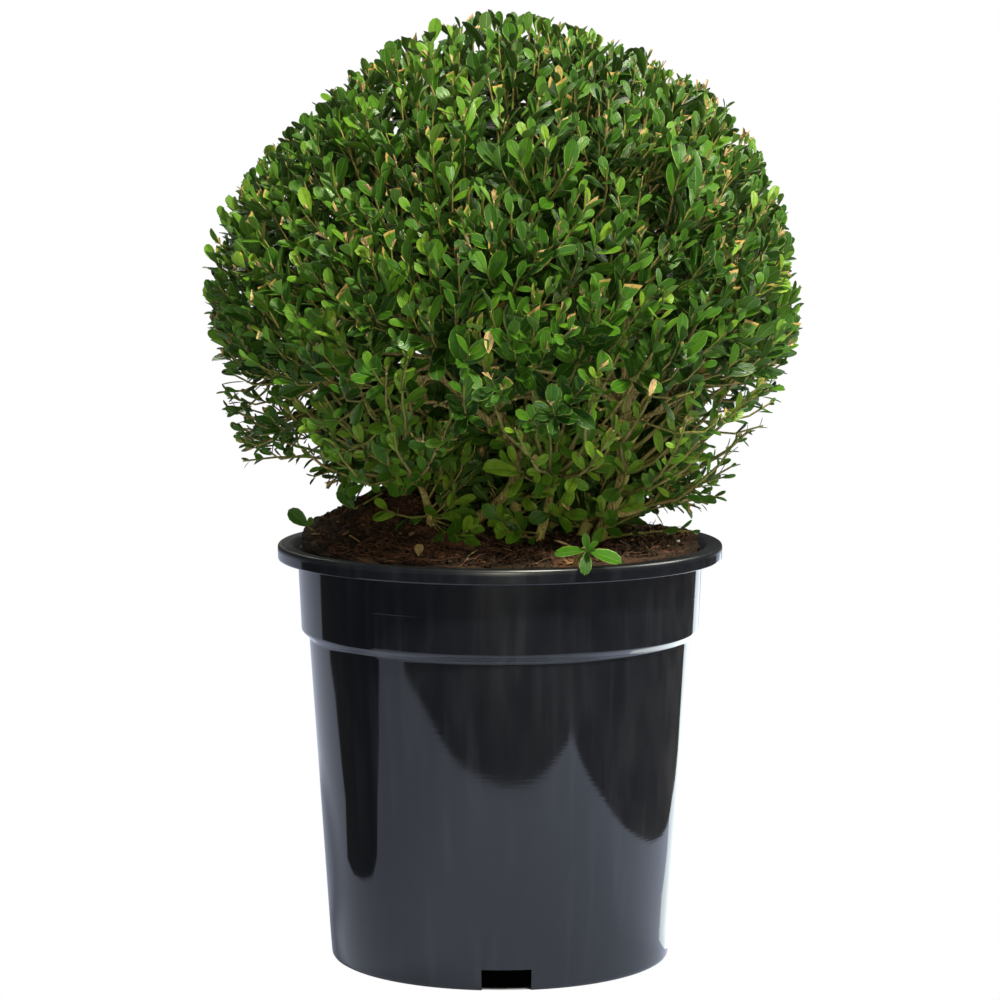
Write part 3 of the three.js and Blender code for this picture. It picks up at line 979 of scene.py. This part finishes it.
def twig_tree():
    """Round twigs along the edges of a mesh, as thick as each point says."""
    tree, given = geometry_tree("twigs_along", {
        "Sides": "Int", "Relief": "Float", "Material": "Material"})
    thick = tree.noted("thickness")
    paths = tree.node("GeometryNodeMeshToCurve", None, {"Mesh": given["Geometry"]})
    section = tree.node("GeometryNodeCurvePrimitiveCircle", None, {
        "Resolution": given["Sides"], "Radius": 0.5})
    paths = tree.node("GeometryNodeSetCurveRadius", None, {"Curve": paths, "Radius": thick})
    tubes = tree.node("GeometryNodeCurveToMesh", None, {
        "Curve": paths, "Profile Curve": section, "Scale": thick, "Fill Caps": True})
    place = tree.node("GeometryNodeInputPosition")
    ridges = tree.noise(tree.stretched(place, (900, 900, 130)), 1.0, 4)
    scars = tree.noise(tree.stretched(place, (120, 120, 520)), 1.0, 2)
    height = (ridges - 0.5 + (scars - 0.5) * 0.7) * given["Relief"]
    normal = tree.node("GeometryNodeInputNormal")
    push = tree.node("ShaderNodeVectorMath", {"operation": "SCALE"}, {0: normal, "Scale": height})
    rough = tree.node("GeometryNodeSetPosition", None, {"Geometry": tubes, "Offset": push})
    round_shaded = tree.node("GeometryNodeSetShadeSmooth", None, {"Geometry": rough})
    return close_tree(tree, round_shaded, given["Material"])


def twigs_along(name, routes, stride, sides, relief, finish, joints):
    """One mesh of all these routes, with a swelling at each joint."""
    points, edges, thick = [], [], []
    for route in routes:
        first = len(points)
        count = max(3, int(route.length / stride))
        for i in range(count + 1):
            t = i / count
            points.append(route.point(t))
            along = t * route.length
            swell = 1 + joints * math.exp(-((along / (21 * MM)) % 1 - 0.5) ** 2 / 0.012)
            flare = 1 + route.flare * math.exp(-along / (7 * MM))
            thick.append(route.thickness(t) * swell * flare)
        edges += [(first + i, first + i + 1) for i in range(count)]
    skeleton = mesh_object(name, points, edges=edges)
    note(skeleton, "thickness", thick)
    return grow(skeleton, along_tree, Sides=sides, Relief=relief, Material=finish)


def leaf_turn(heading, face):
    """The rotation of a leaf that points along heading with its upper side towards face."""
    face = (face - heading * face.dot(heading)).normalized()
    across = heading.cross(face)
    return tuple(Matrix((across, heading, face)).transposed().to_quaternion())


# How a shoot is dressed: how far apart its pairs of leaves are, its longest leaf, the length
# that has leaves, the share of leaves kept at the low end of that, the share of such shoots
# that are clipped, and how much the leaves turn to the light.
Style = namedtuple("Style", "spacing longest leafy kept clipped light")
SURFACE = Style(6.3 * MM, 18 * MM, 46 * MM, 0.45, 0.44, 0.35)
INNER = Style(8.0 * MM, 20 * MM, 36 * MM, 0.5, 0.1, 0.4)
FLANK = Style(6.6 * MM, 13.0 * MM, 46 * MM, 0.35, 0.3, 0.3)
LOW = Style(6.8 * MM, 12.0 * MM, 34 * MM, 0.5, 0.06, 0.6)
SKIRT = Style(8.0 * MM, 18 * MM, 44 * MM, 0.6, 0.04, 0.5)
SPARSE = Style(8.0 * MM, 13.5 * MM, 66 * MM, 0.35, 0.5, 0.4)
LONE_NEAR = Style(7.0 * MM, 13.5 * MM, 0.0, 0.7, 0.0, 0.7)
LONE_FAR = LONE_NEAR._replace(longest=12.5 * MM)


def dress(shoot, outward, bunch, style):
    """Sets pairs of leaves along a shoot, each pair crossing the last."""
    spacing, leafy, kept = style.spacing, min(style.leafy, shoot.length * 0.92), style.kept
    was_cut = chance.random() < style.clipped
    back = chance.uniform(0.0, 0.4) * spacing
    turn = chance.uniform(0, math.pi)
    bright = chance.normal(0, 0.6)
    span = chance.uniform(0.72, 1.18)
    while back < leafy:
        share = back / leafy
        t = 1 - back / shoot.length
        place, axis = shoot.point(t), shoot.heading(t)
        side = axis.orthogonal().normalized()
        side.rotate(Quaternion(axis, turn))
        for way in (side, -side):
            if chance.random() > 1 - (1 - kept) * share:
                continue
            spread = math.radians(between(share, (0, 0.3, 1), (20, 38, 58)) + chance.normal(0, 9))
            heading = (axis * math.cos(spread) + way * math.sin(spread)).normalized()
            face = (axis - way * 0.2 + style.light * (outward * 0.7 + UP * 0.6)).normalized()
            face = (face + 0.28 * any_direction()).normalized()
            growth = between(share, (0, 0.25, 1), (0.85 if was_cut else 0.55, 0.92, 1.0))
            size = style.longest * span * growth * chance.uniform(0.7, 1.1)
            if chance.random() < 0.06:
                size *= 1.25
            shape = int(chance.choice([CUPPED, CURLED, FLAT, ROUND], p=[0.5, 0.2, 0.26, 0.04]))
            tip = place + heading * size
            beyond = (tip - CROWN).length - reach((tip - CROWN).normalized())
            if bunch.trims and beyond > 2 * MM:
                if chance.random() < 0.45:
                    shape = int(chance.choice([CLIPPED, SLANT]))
                size *= max(0.5, 1 - (beyond - 1 * MM) / size)
            elif was_cut and share < 0.2 and chance.random() < 0.5:
                shape = int(chance.choice([CLIPPED, SLANT]))
            elif bunch.narrow:
                shape = NARROW if chance.random() < 0.6 else shape
            bunch.leaf(place + heading * 0.6 * MM, heading, face, size, shape, bright, share)
        back += spacing * between(share, (0, 1), (0.72, 1.15)) * chance.uniform(0.85, 1.15)
        turn += math.pi / 2 + chance.normal(0, 0.16)
    if was_cut:
        axis = shoot.heading(1)
        bunch.stubs.add(shoot.tip, leaf_turn(axis, axis.orthogonal()), chance.uniform(1.0, 1.5) * MM)
        for _ in range(int(chance.integers(1, 5))):
            heading = (axis + 0.55 * any_direction()).normalized()
            size = chance.uniform(4, 8.5) * MM
            bunch.leaves.add(shoot.tip, leaf_turn(heading, any_direction()), size, WITHERED,
                             int(chance.integers(TINTS)))


# Leaves lying on the compost, and two on the front of the ball: where and how long, in mm.
FALLEN_LEAVES = (
    (-45, -84, 12), (42, -60, 13), (8, -72, 8), (-78, -44, 9), (74, -52, 8), (-18, -90, 7))
TAN_LEAVES = ((-9, 358, 12), (88, 328, 10))


class Bunch:
    """Collects the leaves of one kind of shoot, with the colours that it deals out."""

    def __init__(self, name, tint, trims=False, narrow=False):
        self.name, self.tint, self.trims, self.narrow = name, tint, trims, narrow
        self.leaves, self.stubs = Scatter(), Scatter()

    def leaf(self, place, heading, face, size, shape, bright, share):
        young = 1.7 - share * (1.7 + 0.4 * self.tint) + bright + 0.6 * chance.normal()
        tint = int(min(FADED - 1, max(0, round(self.tint + young))))
        if chance.random() < FADED_SHARE:
            tint = FADED
        wide = size * chance.uniform(0.88, 1.12)
        self.leaves.add(place, leaf_turn(heading, face), (wide, size, size), shape, tint)


# From the deepest green to the youngest, then one that has faded to olive tan. The darkest ones, dealt
# to leaves deep in the ball, are partly painted shade.
LEAF_TINTS = (
    (0.006, 0.029, 0.002), (0.011, 0.049, 0.003), (0.020, 0.079, 0.004), (0.033, 0.116, 0.005),
    (0.056, 0.163, 0.007), (0.095, 0.226, 0.010), (0.165, 0.295, 0.016), (0.360, 0.260, 0.070))
LET_THROUGH = 0.15            # the share of light that a leaf lets through


def leaf_finish():
    """Deep glossy green above with a paler midrib and veins, and a pale edge of painted rim light;
    paler and duller below.
    """
    f = Finish("box_leaf")
    spot = f.node("ShaderNodeUVMap", {"uv_map": "OFBake"})
    u, v = f.part(spot, "X"), f.part(spot, "Y")
    across = ((u * TINTS).fraction() - 0.5).size() * 2
    along = (v * ROWS).fraction()
    row = (v * ROWS).floor()
    tint = f.bands(u, LEAF_TINTS)
    patches = f.noise(f.stretched(spot, (80, 22, 1)), 1.0, 4)
    veins = (along * 9 - across * 2.6).fraction()
    veins = veins.ramp(0.0, 0.14, 1.0, 0.0) + veins.ramp(0.86, 1.0)
    midrib = across.ramp(0.03, 0.12, 1.0, 0.0)
    # The paler edge on the upper side is painted rim light: a highlight along the margin.
    edge = across.ramp(0.76, 0.9)
    upper = f.mix(patches.ramp(0.35, 0.7, 0.0, 0.35), tint, (0.007, 0.032, 0.003))
    upper = f.mix(veins * 0.10, upper, (0.14, 0.26, 0.05))
    upper = f.mix(midrib * 0.26, upper, (0.24, 0.36, 0.04))
    upper = f.mix(edge * patches.ramp(0.3, 0.65, 0.05, 0.5), upper, (0.42, 0.50, 0.09))
    upper = f.mix(along.ramp(0.0, 0.2, 0.3, 0.0), upper, (0.14, 0.24, 0.03))
    dried = (along + patches * 0.16).ramp(0.62, 0.68)
    cut = row.math("COMPARE", 1.0, 0.4) * dried
    upper = f.mix(cut * 0.85, upper, (0.46, 0.27, 0.08))
    under = f.mix(0.3, tint, (0.12, 0.24, 0.03))
    under = f.mix(midrib * 0.5, under, (0.3, 0.42, 0.16))
    below = row.math("COMPARE", 2.0, 0.4)
    colour = f.mix(below, upper, under)
    tan = f.mix(patches.ramp(0.3, 0.7), (0.66, 0.50, 0.23), (0.36, 0.20, 0.07))
    colour = f.mix(row.math("COMPARE", 3.0, 0.4), colour, tan)
    roughness = below * 0.2 + patches.ramp(0.3, 0.7, 0.26, 0.44)
    ribbed = f.bump(midrib * -1.0 + veins * -0.25 + patches * 0.4, 0.0005)
    material = f.surface(
        Base_Color=colour, Roughness=roughness, Specular_IOR_Level=0.26, Normal=ribbed)
    # Light that comes through is nearly colourless, and weaker through a deeper green.
    paleness = f.node("ShaderNodeRGBToBW", None, {"Color": colour})
    glow = f.mix(0.08, paleness * 1.6, (0.16, 0.36, 0.01))
    glow = f.node("ShaderNodeBsdfTranslucent", None, {"Color": glow})
    solid = Value(f, f.shader.outputs["BSDF"])
    leaf = f.node("ShaderNodeMixShader", None, {0: LET_THROUGH, 1: solid, 2: glow})
    f.feed(f.tree.nodes["Material Output"], "Surface", leaf)
    return material


def bark_finish(name, dark, light, green):
    f = Finish(name)
    ridges = f.noise(f.stretched(f.place, (1400, 1400, 190)), 1.0, 5)
    patches = f.noise(f.place, 95, 4)
    colour = f.mix(ridges.ramp(0.36, 0.66), dark, light)
    colour = f.mix(patches.ramp(0.45, 0.7), colour, green)
    return f.surface(Base_Color=colour, Roughness=patches.ramp(0.3, 0.7, 0.9, 0.68),
                     Normal=f.bump(ridges, 0.0004))


def plain_finish(name, first, second, scale, rough):
    """Two close colours mixed by noise."""
    f = Finish(name)
    patches = f.noise(f.place, scale, 4)
    return f.surface(Base_Color=f.mix(patches.ramp(0.35, 0.68), first, second),
                     Roughness=patches.ramp(0.3, 0.7, rough, rough - 0.12),
                     Normal=f.bump(patches, 0.0003))


# ---------------------------------------------------------------- loose bits on the compost
def any_turn():
    return tuple(Quaternion(any_direction(), chance.uniform(0, 2 * math.pi)))


def flat_turn(lean=0.25):
    """Lying on the ground, turned any way, tipped a little."""
    turned = Quaternion(UP, chance.uniform(0, 2 * math.pi))
    tipped = Quaternion(Vector((*chance.normal(size=2), 0)).normalized(), abs(chance.normal(0, lean)))
    return tuple(tipped @ turned)


def flat_heading():
    turn = chance.uniform(0, 2 * math.pi)
    return around(1.0, turn, chance.uniform(0.0, 0.5)).normalized()


def ground_spot():
    turn, share = chance.uniform(0, 2 * math.pi), math.sqrt(chance.random())
    return SOIL_REACH * share * math.cos(turn), SOIL_REACH * share * math.sin(turn)


def on_ground(x, y, above):
    return Vector((x, y, soil_height(x, y) + above))


CRUMBS, FIBRES, CHIPS = 3600, 620, 64
GRIT = ((70, -66, 2.6), (101, -25, 2.2), (-18, -88, 1.7), (88, 34, 2.3), (-71, 40, 2.0))


def scatter_compost():
    """Crumbs, root fibres, bark chips and grit lying on the compost."""
    crumbs, fibres, chips, grit = Scatter(), Scatter(), Scatter(), Scatter()
    for _ in range(CRUMBS):
        size = min(8.0, chance.lognormal(0.66, 0.52)) * MM
        crumbs.add(on_ground(*ground_spot(), size * 0.12), any_turn(), size, int(chance.integers(3)))
    for _ in range(FIBRES):
        x, y = ground_spot()
        if chance.random() < 0.5:
            x, y = -40 * MM + chance.normal(0, 24) * MM, -62 * MM + chance.normal(0, 22) * MM
        if math.hypot(x, y) > 109 * MM:
            continue
        size = chance.uniform(5, 17) * MM
        fibres.add(on_ground(x, y, 1.2 * MM), flat_turn(0.22), size, int(chance.integers(2)))
    for _ in range(CHIPS):
        size = chance.uniform(2.5, 9) * MM
        chips.add(on_ground(*ground_spot(), 0.7 * MM), flat_turn(0.3), size, 0)
    for x, y, size in GRIT:
        grit.add(on_ground(x * MM, y * MM, 0.4 * MM), any_turn(), size * MM, 0)
    lumps = [crumb_shape(f"crumb_{i}", i, squash) for i, squash in
             enumerate(((1, 0.8, 0.7), (1, 0.6, 0.5), (0.8, 0.9, 0.8)))]
    strands = [fibre_shape("fibre_0", 0.4), fibre_shape("fibre_1", -0.9)]
    flakes = [crumb_shape("chip", 8, (0.55, 1, 0.16))]
    beads = [crumb_shape("bead", 5)]
    peat = compost_finish(
        "peat_crumb", (0.012, 0.007, 0.004), (0.06, 0.032, 0.016), (0.10, 0.045, 0.022))
    rust = plain_finish("root_fibre", (0.17, 0.065, 0.028), (0.055, 0.024, 0.013), 300, 0.9)
    tan = plain_finish("bark_chip", (0.23, 0.125, 0.05), (0.10, 0.05, 0.022), 240, 0.85)
    white = plain_finish("perlite_grain", (0.62, 0.60, 0.54), (0.42, 0.40, 0.35), 900, 0.8)
    for name, bits, shapes, finish in (
            ("peat_crumbs", crumbs, lumps, peat), ("root_fibres", fibres, strands, rust),
            ("bark_chips", chips, flakes, tan), ("perlite_grains", grit, beads, white)):
        made = bits.grown(name, shape_collection(f"{name}_shapes", shapes), bits_tree, finish)
        piece(smooth(made, sharper_than=50) if bits is not fibres else made, "compost", "soil")


def stub_shape():
    """The cut end of a twig: a short cap a little wider than it is tall, a unit in size."""
    stub = bmesh.new()
    place = Matrix.Translation((0, 0.1, 0)) @ Matrix.Rotation(math.pi / 2, 4, "X")
    bmesh.ops.create_cone(stub, cap_ends=True, segments=6, radius1=0.42, radius2=0.42,
                          depth=0.8, matrix=place)
    return mesh_from(stub, "stub")


# ---------------------------------------------------------------- setting
CAMERA_PLACE = Vector((0, -2.03026, 0.48508))
CAMERA_DIP = math.radians(6.2305)
LENS = 128.21
SKY_LIGHT = 0.09              # how much of the white room's light falls on the plant
# What lies round the white table that the pot stands on, mirrored in its wall: the edge
# of the table in front and to the right, and something dark to the left. These are sheets
# that only the wall's reflections see, so they are painted reflections: the dark ones are
# painted shade, and GLARE is a glowing patch of painted light. In metres.
ROOM_FLOOR = (
    (-0.61, -0.42), (-0.48, -0.45), (-0.32, -0.465), (-0.05, -0.455), (0.14, -0.44), (0.38, -0.44),
    (0.38, -0.2), (0.35, -0.02), (0.33, 0.06), (0.315, 0.15), (0.31, 0.22), (0.33, 0.31),
    (0.34, 0.38), (0.38, 0.49), (0.48, 0.64), (0.57, 0.76), (1.5, 2.35), (5, 5), (5, -5), (-5, -5),
    (-5, -1.2), (-0.79, -0.20), (-0.79, -0.40), (-0.70, -0.45))
LEFT_GLOOM = (
    (-0.77, 0.44), (-0.67, 0.31), (-0.54, 0.20), (-0.42, 0.115), (-0.34, 0.085), (-0.285, 0.06),
    (-0.258, 0.015), (-0.250, -0.025), (-0.256, -0.062), (-0.29, -0.083), (-0.42, -0.11),
    (-0.53, -0.15), (-0.65, -0.19), (-0.75, -0.23), (-3.5, -1.1), (-3.5, 2.0))
GLARE = (
    (0.10, -0.012), (0.12, -0.005), (0.187, 0.065), (0.25, 0.17), (0.31, 0.24), (0.33, 0.31),
    (0.34, 0.38), (0.38, 0.49), (0.48, 0.64), (0.57, 0.76), (0.9, 1.4), (0.6, 1.8), (0.08, 0.5),
    (0.06, 0.12))


WARM, MILD = (1.0, 0.98, 0.80), (1.0, 0.98, 0.88)
LAMPS = (                     # name, place, what it is aimed at, width, power and colour
    ("key", (0.58, -1.25, 2.1), (0, 0, 0.36), 0.36, 117, WARM),
    ("fill", (1.7, 0.2, 1.2), (0, 0, 0.3), 0.9, 38, MILD),
    ("front", (0.1, -2.35, 0.42), (0, 0, 0.24), 0.5, 20, WARM),
    ("back", (-0.8, 1.5, 2.1), (0, 0, 0.3), 0.9, 54, MILD),
)


def stage(name, data):
    """Puts a camera, a lamp or a part of the room on the stage."""
    made = bpy.data.objects.new(name, data)
    bpy.context.scene.collection.objects.link(made)
    return made


def lamp(name, place, target, size, power, colour):
    light = bpy.data.lights.new(name, "AREA")
    light.shape = "DISK"
    light.size = size
    light.energy = power
    light.color = colour
    made = stage(name, light)
    made.location = place
    made.rotation_euler = (Vector(target) - Vector(place)).to_track_quat("-Z", "Y").to_euler()


def ground(name, outline, finish, height, seen=False, only_mirrored=False):
    """A flat shape on the ground, which the camera sees only if told to."""
    points = [(x, y, height) for x, y in outline]
    made = mesh_object(name, points, [tuple(range(len(points)))], finish=finish)
    made.visible_camera = seen
    if only_mirrored:
        made.visible_diffuse = False
        made.visible_shadow = False
        made.visible_transmission = False


def table_finish():
    """White paper in cool light, brighter to the right."""
    f = Finish("white_table")
    colour = f.mix(f.part(f.place, "X").ramp(-0.35, 0.3), (0.30, 0.335, 0.48), (0.40, 0.455, 0.66))
    return f.surface(Base_Color=colour, Roughness=f.noise(f.place, 5, 2).ramp(0.3, 0.7, 0.85, 0.95))


def shade_finish():
    """The table under the pot, in deep shade but for its edge, where the notches let light in."""
    f = Finish("shaded_table")
    from_axis = f.node("ShaderNodeVectorMath", {"operation": "LENGTH"}, {0: f.place}, "Value")
    colour = f.mix(from_axis.ramp(0.086, 0.0935), (0.004, 0.0042, 0.005), (0.22, 0.235, 0.26))
    return f.surface(Base_Color=colour, Roughness=f.noise(f.place, 40, 2).ramp(0.3, 0.7, 0.85, 0.95),
                     Specular_IOR_Level=0.05)


def glare_finish():
    """The brightly lit part of the table, behind the pot to the right."""
    f = Finish("glare")
    colour = f.mix(f.noise(f.place, 3, 2), (0.85, 0.92, 1.0), (0.70, 0.80, 1.0))
    return f.surface(Base_Color=colour, Emission_Color=colour, Emission_Strength=0.9)


def set_the_stage():
    scene = bpy.context.scene
    camera = bpy.data.cameras.new("camera")
    camera.lens = LENS
    camera.sensor_width = 36
    scene.camera = stage("camera", camera)
    scene.camera.location = CAMERA_PLACE
    scene.camera.rotation_euler = (math.pi / 2 - CAMERA_DIP, 0, 0)

    world = bpy.data.worlds.new("white_room")
    world.use_nodes = True
    scene.world = world
    room = Tree(world.node_tree)
    straight = room.node("ShaderNodeLightPath", out="Is Camera Ray")
    background = world.node_tree.nodes["Background"]
    room.feed(background, "Color", (1, 1, 1, 1))
    room.feed(background, "Strength", straight * (1 - SKY_LIGHT) + SKY_LIGHT)
    scene.view_settings.view_transform = "Standard"

    ground("table", ((-5, -5), (5, -5), (5, 5), (-5, 5)), table_finish(), -0.0005)
    under_pot = [around(94 * MM, k * math.pi / 24).xy for k in range(48)]
    ground("table_under_pot", under_pot, shade_finish(), 0.0, seen=True)
    # Painted shade for the dim room: dark sheets that only the pot's reflections see.
    dim = plain_finish("dim_floor", (0.012, 0.012, 0.014), (0.05, 0.048, 0.052), 5, 0.9)
    gloom = plain_finish("gloom", (0.006, 0.006, 0.007), (0.012, 0.012, 0.014), 3, 0.9)
    ground("room_floor", ROOM_FLOOR, dim, 0.001, only_mirrored=True)
    ground("left_gloom", LEFT_GLOOM, gloom, 0.002, only_mirrored=True)
    ground("glare", GLARE, glare_finish(), 0.003, only_mirrored=True)
    for row in LAMPS:
        lamp(*row)


# ---------------------------------------------------------------- building it
along_tree = twig_tree()
leaf_tree = scatter_tree("leaves_on_shoots", with_tints=True)
bits_tree = scatter_tree("small_bits", with_tints=False)

piece(pot_shell(plastic_finish()), "pot_plastic", "pot", "pot_base")

dark_peat = compost_finish(
    "dark_peat", (0.010, 0.006, 0.0035), (0.052, 0.027, 0.014), (0.085, 0.036, 0.018))
piece(compost_bed(dark_peat), "compost", "soil")
scatter_compost()

old_bark = bark_finish("old_bark", (0.10, 0.065, 0.016), (0.46, 0.36, 0.115), (0.30, 0.30, 0.06))
green_bark = bark_finish("green_bark", (0.07, 0.072, 0.010), (0.24, 0.23, 0.038), (0.24, 0.165, 0.05))
crown_limbs = [route for name, route in limb_routes.items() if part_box(name)[1].z > 0.3]
for route in limb_routes.values():
    route.flare = 0.35
stems = twigs_along("woody_stems", limb_routes.values(), 1.6 * MM, 22, 0.9 * MM, old_bark, 0.13)
piece(stems, "bark", *LIMBS)

boughs, twigs = crown_boughs()
inside_wood = boughs + twigs
inner_boughs = twigs_along("inner_boughs", inside_wood, 7 * MM, 7, 0.3 * MM, old_bark, 0.12)
piece(inner_boughs, "bark", "crown_ball")

fine = (1.4 * MM, 1.0 * MM)
on_surface = shoots_to(surface_aims(1750), inside_wood, 0.3, (1.5 * MM, 1.0 * MM), 2 * MM, 1.1)
inside = shoots_to(inner_aims(1180, 0.5, 0.84), inside_wood, 0.3, fine)
heart = shoots_to(inner_aims(640, 0.26, 0.66), inside_wood, 0.3, fine)
standing = [route for name, route in limb_routes.items() if name != "shoot_rim"]
skirt = shoots_to(skirt_aims(950), standing + boughs, 0.15, (1.5 * MM, 0.9 * MM), 3 * MM)
open_front = shoots_to(front_aims(76), standing, 0.08, (2.9 * MM, 1.3 * MM), 5 * MM)
low_down = {name: spray_shoots(name) for name in SPRAYS if name != "sprig_rim"}
lone = [(lone_twig(*row[:4]), row[4] * MM) for row in LONE_TWIGS]
few = []
for foot, node, _ in FEW_LEAVED:
    foot, node = Vector(foot), Vector(node)
    few.append(Route(foot * MM, (foot + node) * 0.5 * MM, node * MM, (1.6 * MM, 1.1 * MM)))
groups = (on_surface, inside, heart, skirt, open_front, *low_down.values(), lone)
all_shoots = [shoot for pairs in groups for shoot, _ in pairs]
green_twigs = twigs_along("green_twigs", all_shoots + few, 11 * MM, 4, 0.0, green_bark, 0.1)
piece(green_twigs, "bark", "crown_ball")

box_leaf = leaf_finish()
leaf_shapes = shape_collection("leaf_shapes", [leaf_shape(name) for name in LEAF_SHAPES])
bunches = [
    Bunch("leaves_deep", 0.8, trims=True),
    Bunch("leaves_mature", 1.8, trims=True),
    Bunch("leaves_bright", 2.8, trims=True),
    Bunch("leaves_young", 3.8, trims=True),
]
flank = Bunch("leaves_flank", 1.5, trims=True, narrow=True)
# The heart of the ball and the back of the skirt get the darkest tints: painted shade for leaves deep
# inside and behind the stems.
hearted, shaded = Bunch("leaves_heart", -1.0), Bunch("leaves_shaded", -0.5)
# leaves_low has a high tint: partly the paler green of young low shoots, and partly painted light on
# the lower front of the plant.
low_leaves, drooping = Bunch("leaves_low", 5.0), Bunch("leaves_drooping", 2.3, narrow=True)
for shoot, way in on_surface:
    bunch = bunches[int(chance.choice(4, p=[0.24, 0.34, 0.28, 0.14]))]
    if on_flank(way):
        dress(shoot, way, flank, FLANK)
    else:
        dress(shoot, way, bunch, SURFACE)
# Leaves inside the ball get only the two darker tints: painted shade.
for shoot, way in inside:
    dress(shoot, way, bunches[int(chance.choice(2))], INNER)
for shoot, way in heart:
    dress(shoot, way, hearted, INNER)
for name, pairs in low_down.items():
    for shoot, way in pairs:
        dress(shoot, way, drooping if name in ("spray_right", "spray_left") else low_leaves, LOW)
for shoot, way in open_front:
    dress(shoot, way, low_leaves, SPARSE)
# Skirt leaves in front get the bright low tints and those behind get the dark shaded ones: painted
# light in front, painted shade behind.
for shoot, way in skirt:
    dress(shoot, way, low_leaves if shoot.tip.y < FRONT_HALF else shaded, SKIRT)
for shoot, leafy in lone:
    side = Vector((shoot.tip.x, shoot.tip.y - 0.05, 0)).normalized()
    bunch, style = (drooping, LONE_FAR) if abs(shoot.tip.x) > 100 * MM else (low_leaves, LONE_NEAR)
    dress(shoot, side, bunch, style._replace(leafy=leafy))
for shoot, (_, _, leaves) in zip(few, FEW_LEAVED):
    for way, size in leaves:
        heading = Vector(way).normalized()
        shape, lean = (ROUND, 1.7) if shoot.tip.x < 0 else (FLAT, 0.6)
        face = (UP - lean * Vector((0, 1, 0)) + 0.2 * any_direction()).normalized()
        low_leaves.leaf(shoot.tip, heading, face, size * MM, shape, -1.6, 0.5)

for x, y, size in FALLEN_LEAVES:
    place = on_ground(x * MM, y * MM, 2 * MM)
    low_leaves.leaves.add(place, leaf_turn(flat_heading(), UP), size * MM, FALLEN, FADED)
for x, z, size in TAN_LEAVES:
    way = (Vector((x, -160, z - 369)) * MM).normalized()
    turned = leaf_turn((UP + 0.3 * any_direction()).normalized(), way)
    bunches[-1].leaves.add(CROWN + way * (reach(way) - 9 * MM), turned, size * MM, FALLEN, FADED)

crown_bunches = [*bunches, flank, hearted, shaded]
spray_bunches = [low_leaves, drooping]
for bunch in crown_bunches + spray_bunches:
    leaves = bunch.leaves.grown(bunch.name, leaf_shapes, leaf_tree, box_leaf)
    if bunch in crown_bunches:
        piece(leaves, "leaf", "crown_ball")
    else:
        piece(leaves, "young_leaf", *SPRAYS)

cut_wood = plain_finish("cut_wood", (0.62, 0.48, 0.26), (0.42, 0.29, 0.12), 600, 0.8)
stubs = Scatter()
stubs.rows = [row for bunch in crown_bunches + spray_bunches for row in bunch.stubs.rows]
stub_shapes = shape_collection("stub_shapes", [stub_shape()])
piece(stubs.grown("cut_twig_ends", stub_shapes, bits_tree, cut_wood), "bark", "crown_ball")

set_the_stage()
